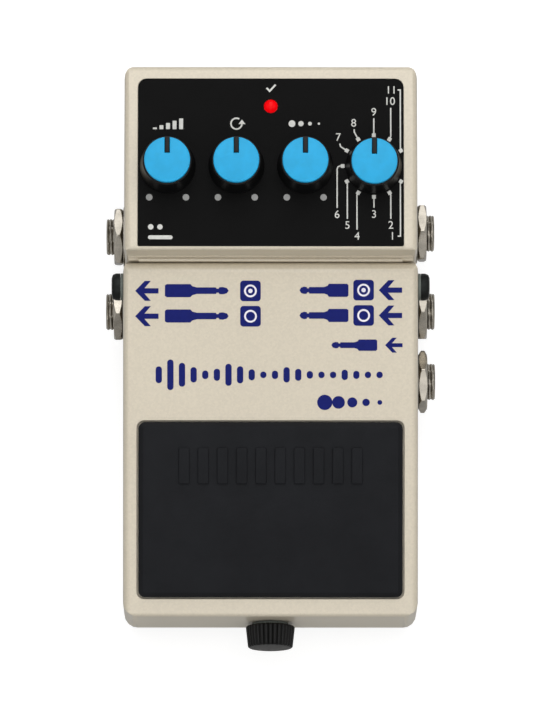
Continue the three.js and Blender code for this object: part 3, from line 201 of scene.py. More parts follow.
def shifted(matrix, x=0.0, y=0.0, z=0.0):
    """A frame moved along its own axes."""
    made = matrix.copy()
    made[:3, 3] += matrix[:3, :3] @ [x, y, z]
    return made


def panel_frame():
    """The frame on the control face at the middle of the row of dials."""
    return turn_x(PANEL_TILT, PedalPart.sizes.dial_row, PedalPart.sizes.panel_level)


def pad_frame():
    """The frame on the treadle's top face at the middle of the pad; the face falls from its rear edge."""
    y, z = TREADLE_REAR
    centre = PedalPart.sizes.pad_centre
    return turn_x(TREADLE_TILT, centre, z - (y - centre) * math.tan(math.radians(TREADLE_TILT)))


# Shapes: each is a pair of vertices and a list of arrays of faces


def circle(sides):
    """The angles of a ring's points."""
    return np.linspace(0, 2 * np.pi, sides, endpoint=False)


def ring(radius, height, angle):
    """Points about Z: x = r cos a, y = r sin a, z = h, where r and h may change with a."""
    return np.stack([radius * np.cos(angle), radius * np.sin(angle), height + 0 * angle], -1)


def loft(rings, closed=False):
    """Joins rings of points, shaped (rings, points, 3) and counter-clockwise seen from above, with quads.

    An open loft gets a flat face at each end; a closed one joins its last ring to its first.
    """
    rings = np.asarray(rings, float)
    count, width = rings.shape[:2]
    rows = np.arange(count if closed else count - 1)[:, None]
    columns = np.arange(width)[None, :]
    after = (columns + 1) % width
    above = (rows + 1) % count
    corners = [rows * width + columns, rows * width + after, above * width + after, above * width + columns]
    faces = [np.stack(corners, -1).reshape(-1, 4)]
    if not closed:
        faces += [columns[:, ::-1], columns + (count - 1) * width]
    return rings.reshape(-1, 3), faces


def revolve(profile, sides=96, closed=False):
    """Turns a profile of (radius, height) about Z."""
    profile = np.asarray(profile, float)
    return loft(ring(profile[:, :1], profile[:, 1:], circle(sides)), closed)


def inset(outline, amount):
    """Moves a counter-clockwise outline inwards along the mitre of its two edge normals at each point."""
    ahead = np.roll(outline, -1, 0) - outline
    ahead /= np.linalg.norm(ahead, axis=1, keepdims=True)
    normal = np.stack([ahead[:, 1], -ahead[:, 0]], -1)
    before = np.roll(normal, 1, 0)
    mitre = (normal + before) / (1 + np.sum(normal * before, 1, keepdims=True))
    return outline - mitre * amount


def tower(outline, levels):
    """Stacks an outline at levels of (inset, height), which rounds or bevels its edges."""
    outline = np.asarray(outline, float)
    return loft([
        np.column_stack([inset(outline, amount), np.full(len(outline), height)]) for amount, height in levels
    ])


def edge_levels(low, high, radius, foot_radius=0.0, steps=5):
    """Levels for a tower with quarter-round edges: inset = r (1 - cos t), height = r sin t from the edge."""
    t = np.linspace(0, np.pi / 2, steps)
    top = zip(radius * (1 - np.cos(t)), high - radius + radius * np.sin(t))
    if not foot_radius:
        return [(0.0, low), *top]
    foot = zip(foot_radius * (1 - np.cos(t[::-1])), low + foot_radius - foot_radius * np.sin(t[::-1]))
    return [*foot, *top]


def rounded(low_x, high_x, low_y, high_y, radius, steps=8):
    """A rectangle's outline with quarter-circle corners, counter-clockwise."""
    t = np.linspace(0, np.pi / 2, steps)
    corners = [
        (high_x - radius, low_y + radius, -np.pi / 2),
        (high_x - radius, high_y - radius, 0.0),
        (low_x + radius, high_y - radius, np.pi / 2),
        (low_x + radius, low_y + radius, np.pi),
    ]
    return np.concatenate(
        [np.stack([x + radius * np.cos(t + a), y + radius * np.sin(t + a)], -1) for x, y, a in corners]
    )


def disc(radius, x=0.0, y=0.0, sides=40):
    """A circle's outline."""
    return ring(radius, 0.0, circle(sides))[:, :2] + [x, y]


def stroke(points, width):
    """The outline of a line of even width: each side is the path moved half the width along its mitres."""
    path = np.asarray(points, float)
    ahead = np.diff(path, axis=0)
    ahead /= np.linalg.norm(ahead, axis=1, keepdims=True)
    normal = np.stack([-ahead[:, 1], ahead[:, 0]], -1)
    first, last = np.vstack([normal[:1], normal]), np.vstack([normal, normal[-1:]])
    mitre = (first + last) / (1 + np.sum(first * last, 1, keepdims=True))
    return np.concatenate([path - mitre * width / 2, (path + mitre * width / 2)[::-1]])


def moved(shape, x=0.0, y=0.0, z=0.0):
    """A shape moved within its local frame."""
    return np.asarray(shape[0]) + [x, y, z], shape[1]


def lettering(body, size, thickness):
    """A number from Blender's own font, centred on its frame, as a mesh."""
    curve = bpy.data.curves.new("digits", "FONT")
    curve.body, curve.size, curve.extrude = body, size, thickness / 2
    curve.align_x, curve.align_y = "CENTER", "CENTER"
    holder = bpy.data.objects.new("digits", curve)
    bpy.context.scene.collection.objects.link(holder)
    bpy.context.view_layer.update()
    mesh = bpy.data.meshes.new_from_object(holder.evaluated_get(bpy.context.evaluated_depsgraph_get()))
    points = np.empty(len(mesh.vertices) * 3)
    mesh.vertices.foreach_get("co", points)
    faces = [np.array([polygon.vertices]) for polygon in mesh.polygons]
    bpy.data.objects.remove(holder)
    bpy.data.meshes.remove(mesh)
    points = points.reshape(-1, 3)
    centre = (points.min(0) + points.max(0)) / 2
    return points - centre + [0, 0, thickness / 2], faces


def piece(name, shapes, material, body, nodes=(), matrix=None, sharp=32):
    """Makes one object of closed shapes, with smooth faces and edges sharp past an angle in degrees."""
    starts = np.cumsum([0] + [len(vertices) for vertices, _ in shapes])
    vertices = np.concatenate([vertices for vertices, _ in shapes])
    if matrix is not None:
        vertices = vertices @ matrix[:3, :3].T + matrix[:3, 3]
    faces = []
    for (_, blocks), start in zip(shapes, starts):
        for block in blocks:
            faces += (block + start).tolist()
    mesh = bpy.data.meshes.new(name)
    mesh.from_pydata((vertices * MM).tolist(), [], faces)
    mesh.validate()
    mesh.shade_smooth()
    mesh.set_sharp_from_angle(angle=math.radians(sharp))
    mesh.materials.append(material)
    made = bpy.data.objects.new(name, mesh)
    bpy.context.scene.collection.objects.link(made)
    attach(made, body)
    if nodes:
        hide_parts(*nodes)
    return made


def dress(node, material, smooth=0.0):
    """Gives a CAD node its finish; with smooth, only edges that turn by more than that angle stay sharp."""
    made = NODES[node]
    made.data.materials.clear()
    made.data.materials.append(material)
    if smooth:
        weld = made.modifiers.new("Weld", "WELD")
        weld.merge_threshold = 1e-6
        made.data.shade_smooth()
        split = made.modifiers.new("Split", "EDGE_SPLIT")
        split.split_angle = math.radians(smooth)
        weighted = made.modifiers.new("Weighted", "WEIGHTED_NORMAL")
        weighted.keep_sharp = True


# Finishes


def add_node(tree, kind, settings=None, inputs=None, stops=None):
    """Adds a shader node, sets its properties and fills its inputs with values or with links from sockets."""
    made = tree.nodes.new(kind)
    for key, value in (settings or {}).items():
        setattr(made, key, value)
    for key, value in (inputs or {}).items():
        if isinstance(value, bpy.types.NodeSocket):
            tree.links.new(value, made.inputs[key])
        else:
            made.inputs[key].default_value = value
    for place, shade_here in stops or []:
        stop = made.color_ramp.elements.new(place)
        stop.color = shade_here
    if stops:
        made.color_ramp.elements.remove(made.color_ramp.elements[0])
        made.color_ramp.elements.remove(made.color_ramp.elements[-1])
    return made


class Finish:
    """A material with its Principled shader, and patterns on object coordinates, sized in millimetres."""

    def __init__(self, name, base, **settings):
        self.material = bpy.data.materials.new(name)
        self.material.use_nodes = True
        self.tree = self.material.node_tree
        self.shader = self.tree.nodes["Principled BSDF"]
        self.base = base
        self.shader.inputs["Base Color"].default_value = base
        for key, value in settings.items():
            self.shader.inputs[key.replace("_", " ")].default_value = value
        self.where = add_node(self.tree, "ShaderNodeTexCoord").outputs["Object"]

    def tone(self, amount):
        """The base colour made lighter (above one) or darker (below one)."""
        return (*[min(1.0, value * amount) for value in self.base[:3]], 1.0)

    def grain(self, size, detail=3.0, stretch=(1, 1, 1)):
        """A noise whose features are about size millimetres across."""
        inputs = {"Vector": self.where, "Scale": stretch}
        where = add_node(self.tree, "ShaderNodeMapping", inputs=inputs).outputs["Vector"]
        inputs = {"Vector": where, "Scale": 1 / (size * MM), "Detail": detail}
        return add_node(self.tree, "ShaderNodeTexNoise", inputs=inputs).outputs["Fac"]

    def shade(self, factor, low, high, start=0.35, end=0.65):
        """A ramp from one tone of the base colour to another over part of a factor's range."""
        stops = [(start, self.tone(low)), (end, self.tone(high))]
        return add_node(self.tree, "ShaderNodeValToRGB", inputs={"Fac": factor}, stops=stops).outputs["Color"]

    def feed(self, socket, source):
        """Links a source to one of the shader's sockets."""
        self.tree.links.new(source, self.shader.inputs[socket])

    def roughness(self, factor, low, high):
        """Lets the roughness wander between low and high with a factor."""
        inputs = {"Value": factor, "To Min": low, "To Max": high}
        self.feed("Roughness", add_node(self.tree, "ShaderNodeMapRange", inputs=inputs).outputs["Result"])

    def relief(self, height, depth, strength):
        """Raises the surface by a height factor, up to depth millimetres."""
        inputs = {"Height": height, "Distance": depth * MM, "Strength": strength}
        self.feed("Normal", add_node(self.tree, "ShaderNodeBump", inputs=inputs).outputs["Normal"])


def pearl_enamel(base):
    """Pearl enamel sprayed on a die casting: a satin cream with fine mica flakes under a thin clear coat.

    Each flake is given its own tone in the base colour, lighter where it stands for a painted glint, and the
    coat has a faint orange peel about 1.5 mm across.
    """
    flake, cloud, peel = 0.42, 26, 1.5
    coat = Finish("pearl_enamel", base, Roughness=0.42, Coat_Weight=0.45, Coat_Roughness=0.16)
    inputs = {"Vector": coat.where, "Scale": 1 / (flake * MM)}
    cells = add_node(coat.tree, "ShaderNodeTexVoronoi", inputs=inputs)
    parts = add_node(coat.tree, "ShaderNodeSeparateColor", inputs={"Color": cells.outputs["Color"]})
    glint = parts.outputs["Red"]
    # Each flake's cell is toned darker or lighter in the base colour: its own tone, and a painted glint where
    # it is lighter
    flake_tones_and_glints = coat.shade(glint, 0.945, 1.07, 0.1, 0.95)
    broad = coat.shade(coat.grain(cloud), 0.975, 1.02)
    inputs = {"Factor": 0.55, "A": broad, "B": flake_tones_and_glints}
    mixed = add_node(coat.tree, "ShaderNodeMix", {"data_type": "RGBA"}, inputs)
    coat.feed("Base Color", [socket for socket in mixed.outputs if socket.type == "RGBA"][0])
    coat.roughness(glint, 0.34, 0.5)
    coat.relief(coat.grain(peel, 2), 0.012, 0.6)
    return coat.material


def printed_steel(base):
    """Satin black screen ink on a steel face plate: dark and even, with the ink's fine tooth."""
    ink = Finish("satin_black_ink", base, Roughness=0.5, Specular_IOR_Level=0.06)
    ink.feed("Base Color", ink.shade(ink.grain(8), 0.9, 1.12))
    ink.roughness(ink.grain(0.6), 0.42, 0.56)
    ink.relief(ink.grain(0.35), 0.01, 0.5)
    return ink.material


def screen_ink(name, base):
    """Opaque screen ink: flat colour with a little unevenness from the mesh of the screen."""
    ink = Finish(name, base, Roughness=0.55, Specular_IOR_Level=0.12)
    ink.feed("Base Color", ink.shade(ink.grain(0.9), 0.94, 1.05))
    return ink.material


def moulded_rubber(name, base, tooth=0.3, roughness=0.62):
    """Rubber pressed in an etched mould: dark and matt, with a fine even tooth and faint bloom.

    A real tooth is about 0.1 mm; it is drawn about three times as coarse so that it shows.
    """
    rubber = Finish(name, base, Roughness=roughness, Specular_IOR_Level=0.12)
    rubber.feed("Base Color", rubber.shade(rubber.grain(11, 5), 0.88, 1.16, 0.3, 0.7))
    rubber.roughness(rubber.grain(3), roughness - 0.07, roughness + 0.08)
    rubber.relief(rubber.grain(tooth, 2), 0.03, 0.55)
    return rubber.material


def moulded_plastic(name, base, roughness, tooth=0.35, depth=0.008):
    """Injection-moulded ABS: an even colour with a fine spark-eroded tooth."""
    plastic = Finish(name, base, Roughness=roughness, Specular_IOR_Level=0.22)
    plastic.feed("Base Color", plastic.shade(plastic.grain(2.4), 0.95, 1.05))
    plastic.roughness(plastic.grain(1.1), roughness - 0.04, roughness + 0.06)
    plastic.relief(plastic.grain(tooth, 2), depth, 0.5)
    return plastic.material


def plated_metal(name, base, roughness, streak=(1, 1, 1)):
    """Plated or plain metal: a warm or cool mirror blurred by the turning marks left under the plating."""
    metal = Finish(name, base, Metallic=1.0, Roughness=roughness)
    metal.feed("Base Color", metal.shade(metal.grain(2.2, 4), 0.82, 1.1, 0.3, 0.7))
    metal.roughness(metal.grain(0.7, 4, streak), roughness * 0.7, roughness * 1.35)
    metal.relief(metal.grain(0.5, 2, streak), 0.006, 0.4)
    return metal.material


def lamp_lens(base):
    """Clear red acrylic lit from within: the dome glows evenly and keeps a small highlight."""
    lens = Finish("lit_red_acrylic", base, Roughness=0.25, Specular_IOR_Level=0.12, Emission_Strength=0.8)
    lens.shader.inputs["Base Color"].default_value = lens.tone(0.3)
    lens.feed("Emission Color", lens.shade(lens.grain(1.2), 0.85, 1.0))
    return lens.material


def circuit_board(base, track):
    """Glass-epoxy board under green solder mask, with copper tracks showing paler through the mask."""
    field = 9
    board = Finish("green_solder_mask", base, Roughness=0.38, Coat_Weight=0.3)
    inputs = {"Vector": board.where, "Color1": base, "Color2": board.tone(1.25), "Mortar": track}
    inputs |= {"Scale": 1 / (field * MM), "Mortar Size": 0.04, "Row Height": 0.22}
    tracks = add_node(board.tree, "ShaderNodeTexBrick", {"offset": 0.37, "squash": 0.6}, inputs)
    board.feed("Base Color", tracks.outputs["Color"])
    board.relief(tracks.outputs["Fac"], 0.03, 0.6)
    return board.material


def battery_sleeve(base, band, rear, front):
    """Lacquered steel battery can: dark, with a coppery band over its last quarter, towards the terminals."""
    can = Finish("lacquered_can", base, Metallic=0.6, Roughness=0.32)
    along = add_node(can.tree, "ShaderNodeSeparateXYZ", inputs={"Vector": can.where}).outputs["X"]
    inputs = {"Value": along, "From Min": rear * MM, "From Max": front * MM}
    share = add_node(can.tree, "ShaderNodeMapRange", inputs=inputs).outputs["Result"]
    stops = [(0.0, base), (0.71, base), (0.72, band), (1.0, band)]
    wrap = add_node(can.tree, "ShaderNodeValToRGB", inputs={"Fac": share}, stops=stops)
    can.feed("Base Color", wrap.outputs["Color"])
    can.roughness(can.grain(1.5), 0.26, 0.4)
    return can.material


def floor_paper(base, glow):
    """White backdrop paper: it takes the pedal's shadow, and its lit part reaches white in camera.

    Metal sees a quarter of the added white, so that low mirrors of the floor don't wash out.
    """
    mirrored = 0.25
    paper = Finish("white_paper", base, Roughness=0.9, Specular_IOR_Level=0.1)
    rays = add_node(paper.tree, "ShaderNodeLightPath").outputs

    def sums(operation, *values):
        inputs = dict(enumerate(values))
        return add_node(paper.tree, "ShaderNodeMath", {"operation": operation}, inputs).outputs["Value"]

    seen = sums("MAXIMUM", rays["Is Camera Ray"], rays["Is Transmission Ray"])
    seen = sums("MULTIPLY_ADD", rays["Is Glossy Ray"], mirrored, seen)
    inputs = {"Color": (1, 1, 1, 1), "Strength": sums("MULTIPLY", seen, glow)}
    lift = add_node(paper.tree, "ShaderNodeEmission", inputs=inputs)
    inputs = {0: paper.shader.outputs["BSDF"], 1: lift.outputs["Emission"]}
    both = add_node(paper.tree, "ShaderNodeAddShader", inputs=inputs)
    paper.tree.links.new(both.outputs["Shader"], paper.tree.nodes["Material Output"].inputs["Surface"])
    return paper.material


# Stage


class PEDAL_OT_stage(PedalPart, bpy.types.Operator):
    """Set the camera, lamps and floor"""

    bl_idname = "pedal.stage"
    bl_label = "Stage"

    # The camera's aim in millimetres, its distance in metres, its leans in degrees and its lens
    target = (-0.13, -3.589, 33.0)
    distance = 1.4
    lean_front, lean_left = 12.2, 0.16
    focal_length = 304.84

    # Each lamp's place and width in metres, and its power in watts
    lamps = {
        "key_lamp": ((0.06, 0.46, 1.5), 1.3, 10.2),
        "rear_lamp": ((0.0, 1.2, 0.9), 1.1, 6.5),
        "front_lamp": ((0.0, -1.0, 1.3), 1.4, 5.6),
        "left_lamp": ((-1.3, -0.1, 0.9), 0.8, 0.5),
        "right_lamp": ((1.3, -0.2, 0.9), 0.8, 1.3),
    }
    lamps_aim = Vector((0, 0, 0.03))

    # The room's light from level to overhead and its share at the front and rear, the paper's glow, half its
    # width in metres, and how far it lies under the pedal in millimetres
    room_low, room_high = 0.26, 0.46
    room_front, room_rear = 1.45, 0.6
    paper_glow = 0.8
    paper_reach = 3.0
    paper_drop = 0.05

    def execute(self, context):
        scene = context.scene
        scene.view_settings.view_transform = "Standard"
        self.camera(scene)
        for name, (spot, width, power) in self.lamps.items():
            self.lamp(scene, name, spot, width, power)
        self.room(scene)
        self.floor(scene)
        return {"FINISHED"}

    def camera(self, scene):
        """Stands off from straight above, leant to the front, with the pedal's length running up the picture.
        """
        lens = bpy.data.cameras.new("camera")
        lens.sensor_width, lens.lens = 36.0, self.focal_length
        lens.clip_start, lens.clip_end = 0.1, 10.0
        eye = bpy.data.objects.new("camera", lens)
        scene.collection.objects.link(eye)
        front, left = math.radians(self.lean_front), math.radians(self.lean_left)
        back = Vector((-math.tan(left), -math.sin(front), math.cos(front))).normalized()
        right = (-back).cross(Vector((0, 1, 0))).normalized()
        up = right.cross(-back)
        spot = Vector(self.target) * MM + back * self.distance
        matrix = np.eye(4)
        matrix[:3] = np.column_stack([right, up, back, spot])
        eye.matrix_world = Matrix(matrix.tolist())
        scene.camera = eye

    def lamp(self, scene, name, spot, width, power):
        """A square soft lamp that faces the pedal."""
        light = bpy.data.lights.new(name, "AREA")
        light.shape, light.size, light.energy = "SQUARE", width, power
        lamp = bpy.data.objects.new(name, light)
        scene.collection.objects.link(lamp)
        lamp.location = spot
        lamp.rotation_mode = "QUATERNION"
        lamp.rotation_quaternion = (self.lamps_aim - Vector(spot)).to_track_quat("-Z", "Y")

    def room(self, scene):
        """A pale room, lighter overhead and at the front, that the camera sees as white."""
        world = bpy.data.worlds.new("room")
        scene.world = world
        world.use_nodes = True
        tree = world.node_tree
        sky = tree.nodes["Background"]
        sky.inputs["Color"].default_value = (1, 1, 1, 1)
        rays = add_node(tree, "ShaderNodeLightPath").outputs
        where = add_node(tree, "ShaderNodeTexCoord").outputs["Generated"]
        parts = add_node(tree, "ShaderNodeSeparateXYZ", inputs={"Vector": where}).outputs
        inputs = {"Value": parts["Z"], "To Min": self.room_low, "To Max": self.room_high}
        level = add_node(tree, "ShaderNodeMapRange", inputs=inputs).outputs["Result"]
        inputs = {"Value": parts["Y"], "From Min": -1.0, "To Min": self.room_front, "To Max": self.room_rear}
        share = add_node(tree, "ShaderNodeMapRange", inputs=inputs).outputs["Result"]
        inputs = {0: level, 1: share}
        light = add_node(tree, "ShaderNodeMath", {"operation": "MULTIPLY"}, inputs).outputs["Value"]
        inputs = {"Value": rays["Is Camera Ray"], "To Min": light, "To Max": 1.0}
        strength = add_node(tree, "ShaderNodeMapRange", inputs=inputs).outputs["Result"]
        tree.links.new(strength, sky.inputs["Strength"])

    def floor(self, scene):
        """A flat sheet of paper that the rubber base stands on, a hair below it."""
        r = self.paper_reach
        paper = bpy.data.meshes.new("floor")
        paper.from_pydata([(-r, -r, 0), (r, -r, 0), (r, r, 0), (-r, r, 0)], [], [(0, 1, 2, 3)])
        paper.materials.append(floor_paper(linear("#9E9E9D"), self.paper_glow))
        sheet = bpy.data.objects.new("floor", paper)
        sheet.location.z = -self.paper_drop * MM
        scene.collection.objects.link(sheet)


# Castings, base and inside


class PEDAL_OT_castings(PedalPart, bpy.types.Operator):
    """Spray the chassis with its front lip, and the treadle"""

    bl_idname = "pedal.castings"
    bl_label = "Castings"

    # The shelf's lip in millimetres: gap to the treadle, depth, gap at each end, heights, corners and edge
    lip_gap, lip_depth, lip_end_gap = 0.06, 0.75, 3.2
    lip_low, lip_high = 39.5, 41.55
    lip_corner, lip_edge = 0.2, 0.22

    def execute(self, context):
        enamel = pearl_enamel(self.colours.enamel)
        for node in ("chassis", "treadle"):
            dress(node, enamel, smooth=30)
        piece("shelf_lip", [self.lip()], enamel, "chassis")
        return {"FINISHED"}

    def lip(self):
        """A rounded bar on the shelf behind the treadle, which closes most of the gap between them."""
        half = ends("chassis")[1][0] - self.lip_end_gap
        front = ends("treadle")[1][1] + self.lip_gap
        outline = rounded(-half, half, front, front + self.lip_depth, self.lip_corner, 5)
        return tower(outline, edge_levels(self.lip_low, self.lip_high, self.lip_edge))


class PEDAL_OT_base(PedalPart, bpy.types.Operator):
    """Finish the base plate, its screws and the rubber sheet"""

    bl_idname = "pedal.base"
    bl_label = "Base"

    def execute(self, context):
        zinc = plated_metal("zinc_plated_steel", linear("#B3B4B0"), 0.36, (0.15, 1, 1))
        dress("base_plate", zinc)
        for number in range(1, 5):
            dress(f"base_screw_{number}", zinc, smooth=40)
        dress("rubber_base", moulded_rubber("sheet_rubber", linear("#1A1A1B"), 0.5, 0.75))
        return {"FINISHED"}


class PEDAL_OT_inside(PedalPart, bpy.types.Operator):
    """Finish the boards, battery, shafts and switches inside, and the nylon washers"""

    bl_idname = "pedal.inside"
    bl_label = "Inside"

    def execute(self, context):
        board = circuit_board(linear("#1F5A3A"), linear("#3E8A5A"))
        for node in ("main_board", "knob_board"):
            dress(node, board)
        black = moulded_plastic("black_nylon", linear("#222326"), 0.5)
        for node in ("foot_switch", "battery_clip", "mode_switch", *(f"{name}_pot" for name in POTS)):
            dress(node, black, smooth=40)
        grey = moulded_plastic("grey_nylon", linear("#6A706B"), 0.55)
        washers = (f"{name}_washer" for name in ("left_hinge", "right_hinge", "thumbscrew"))
        for node in ("guide_bush", "switch_pusher", *washers):
            dress(node, grey, smooth=30)
        steel = plated_metal("turned_steel", linear("#A6A7A3"), 0.28)
        for node in ("thumbscrew_shank", *(f"{name}_shaft" for name in DIALS)):
            dress(node, steel, smooth=30)
        dress("battery_lead", moulded_rubber("lead_sleeve", linear("#1D1D1F"), 0.4, 0.5), smooth=50)
        dress("switch_button", moulded_plastic("black_acetal", linear("#161718"), 0.4), smooth=40)
        low, high = ends("battery")
        terminals = 2.2
        can = battery_sleeve(linear("#2B2D31"), linear("#B4753F"), low[0], high[0] - terminals)
        dress("battery", can, smooth=30)
        return {"FINISHED"}


class PEDAL_OT_return_spring(PedalPart, bpy.types.Operator):
    """Wind the return spring in its rest shape"""

    bl_idname = "pedal.return_spring"
    bl_label = "Return spring"

    # Rings of points in one turn, points round the wire, and the rise of an end turn in radii of the wire
    turn_steps, wire_sides, close_rise = 36, 12, 3.1

    def execute(self, context):
        low, high = ends("return_spring")
        reach, rise = (high[0] - low[0]) / 2, high[2] - low[2]
        x, y = (low[:2] + high[:2]) / 2
        steel = plated_metal("spring_steel", linear("#A6A7A3"), 0.28)
        shape = moved(self.coil(reach, rise), x, y, low[2])
        coil = piece("spring_coil", [shape], steel, "chassis", ["return_spring"], sharp=60)
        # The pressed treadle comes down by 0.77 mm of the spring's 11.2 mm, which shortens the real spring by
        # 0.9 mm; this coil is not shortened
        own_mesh(coil)
        return {"FINISHED"}

    def coil(self, reach, rise):
        """Wire of radius w on a helix: ((R + w cos b) cos a, (R + w cos b) sin a, c(a) - w sin b).

        The height c climbs by little more than one wire in the first and last turns, and evenly between.
        """
        wire = self.sizes.spring_wire / 2
        close = wire * self.close_rise
        turns = np.linspace(0, SPRING_TURNS, SPRING_TURNS * self.turn_steps + 1)[:, None]
        knots = [0, 1, SPRING_TURNS - 1, SPRING_TURNS]
        climb = np.interp(turns, knots, [wire, close, rise - close, rise - wire])
        around = circle(self.wire_sides)
        radius = reach - wire + wire * np.cos(around)
        return loft(ring(radius, climb - wire * np.sin(around), turns * 2 * np.pi))


# Control face


class PEDAL_OT_face_plate(PedalPart, bpy.types.Operator):
    """Ink the face plate and print its marks"""

    bl_idname = "pedal.face_plate"
    bl_label = "Face plate"

    ink_lift = 0.11
    end_dot_turn, end_dot_reach, end_dot_radius = 150, 8.38, 0.75
    square_reach, square_half, line_width, digit_height = 7.13, 0.44, 0.3, 2.55
    line_lift = 0.004

    # Round the mode dial, from number one on: degrees from the top, the corners of the leader line from
    # the middle of the dial, and the middle of the number
    positions = (
        (120, [(6.04, -3.5), (6.04, -16.2), (5.4, -16.2)], (4.2, -16.15)),
        (150, [(3.5, -6.15), (3.84, -6.7), (3.84, -12.2)], (3.84, -13.6)),
        (180, [(0, -7.1), (0, -9.65)], (0, -11.1)),
        (-150, [(-3.55, -6.15), (-3.88, -6.7), (-3.88, -14.7)], (-3.88, -16.15)),
        (-120, [(-6.08, -3.5), (-6.08, -12.2)], (-6.08, -13.65)),
        (-90, [(-7.1, 0.0), (-7.75, 0.0), (-8.2, -0.2), (-8.4, -0.7), (-8.4, -9.7)], (-8.4, -11.15)),
        (-60, [(-6.1, 3.5), (-7.6, 4.5), (-7.8, 5.2)], (-8.1, 6.7)),
        (-30, [(-3.55, 6.15), (-4.48, 7.9), (-4.48, 8.5)], (-4.6, 10.0)),
        (0, [(0, 7.2), (0, 11.04)], (0, 12.55)),
        (30, [(3.5, 6.25), (3.87, 6.9), (3.87, 13.47)], (3.87, 15.05)),
        (60, [(6.07, 3.6), (6.07, 17.65), (5.45, 17.65)], (4.0, 17.65)),
    )

    def execute(self, context):
        dress("face_plate", printed_steel(self.colours.face))
        legend = screen_ink("light_screen_ink", self.colours.legend)
        grey = screen_ink("grey_screen_ink", self.colours.dot)
        top = shifted(panel_frame(), z=self.ink_lift)
        piece("panel_marks", self.mode_marks() + self.symbols(), legend, "chassis", matrix=top)
        piece("dial_end_dots", self.end_dots(), grey, "chassis", matrix=top)
        return {"FINISHED"}

    def end_dots(self):
        """Two dots for each potentiometer dial, one at each end of its turn."""
        turn = math.radians(self.end_dot_turn)
        across, along = self.end_dot_reach * math.sin(turn), self.end_dot_reach * math.cos(turn)
        return [
            self.mark(disc(self.end_dot_radius, middle(f"{name}_knob")[0] + side * across, along))
            for name in POTS
            for side in (-1, 1)
        ]

    def mode_marks(self):
        """Eleven squares round the mode dial, a line from each, and its number at the line's end."""
        centre = np.array([middle("mode_knob")[0], 0.0])
        half = self.square_half
        square = rounded(-half, half, -half, half, 0.08, 3)
        made = []
        for count, (degrees, path, (x, y)) in enumerate(self.positions, 1):
            turn = math.radians(degrees)
            c, s = math.cos(turn), math.sin(turn)
            spin = np.array([[c, -s], [s, c]])
            made.append(self.mark(square @ spin + centre + np.array([s, c]) * self.square_reach))
            made.append(self.mark(stroke(np.array(path) + centre, self.line_width), self.line_lift))
            digits = lettering(str(count), self.digit_height, self.sizes.print_thickness)
            made.append(moved(digits, centre[0] + x, y))
        return made

    def symbols(self):
        """Plain symbols: rising bars, a loop, fading dots, a tick over the lamp, and two dots over a bar."""
        left, centre, right = (middle(f"{name}_knob")[0] for name in POTS)
        level = 9.8
        bar_start, bar_pitch, bar_width, bar_climb = 3.4, 1.5, 0.9, 0.52
        bar_foot, bar_top, bar_corner = 1.3, 0.9, 0.1
        made = []
        for i in range(5):
            start, top = left - bar_start + i * bar_pitch, level - bar_top + i * bar_climb
            made.append(self.mark(rounded(start, start + bar_width, level - bar_foot, top, bar_corner, 3)))
        loop_radius, loop_width, tick_width = 1.25, 0.36, 0.42
        loop = disc(loop_radius, centre, level, 72)[12:]
        head = np.array([(2.05, -0.1), (1.25, 0.95), (0.45, -0.1)]) + [centre, level]
        loop = np.vstack([loop, loop[-1:] + [0, 0.1]])
        made += [self.mark(stroke(loop, loop_width)), self.mark(head)]
        fade_start, fade_pitch, fade_radius, fade_step = 3.0, 2.05, 0.78, 0.17
        for i in range(4):
            x = right - fade_start + fade_pitch * i
            made.append(self.mark(disc(fade_radius - fade_step * i, x, level, 32)))
        tick = np.array([(-0.95, 18.1), (-0.25, 17.35), (1.1, 18.85)])
        made.append(self.mark(stroke(tick, tick_width)))
        start, row, dot_radius, dot_pitch = -28.0, -14.1, 0.62, 2.1
        for i in range(2):
            made.append(self.mark(disc(dot_radius, start + dot_radius + i * dot_pitch, row, 32)))
        lower, bar_length, bar_half = -16.5, 5.6, 0.45
        bar = rounded(start, start + bar_length, lower - bar_half, lower + bar_half, bar_half - 0.01, 6)
        return made + [self.mark(bar)]


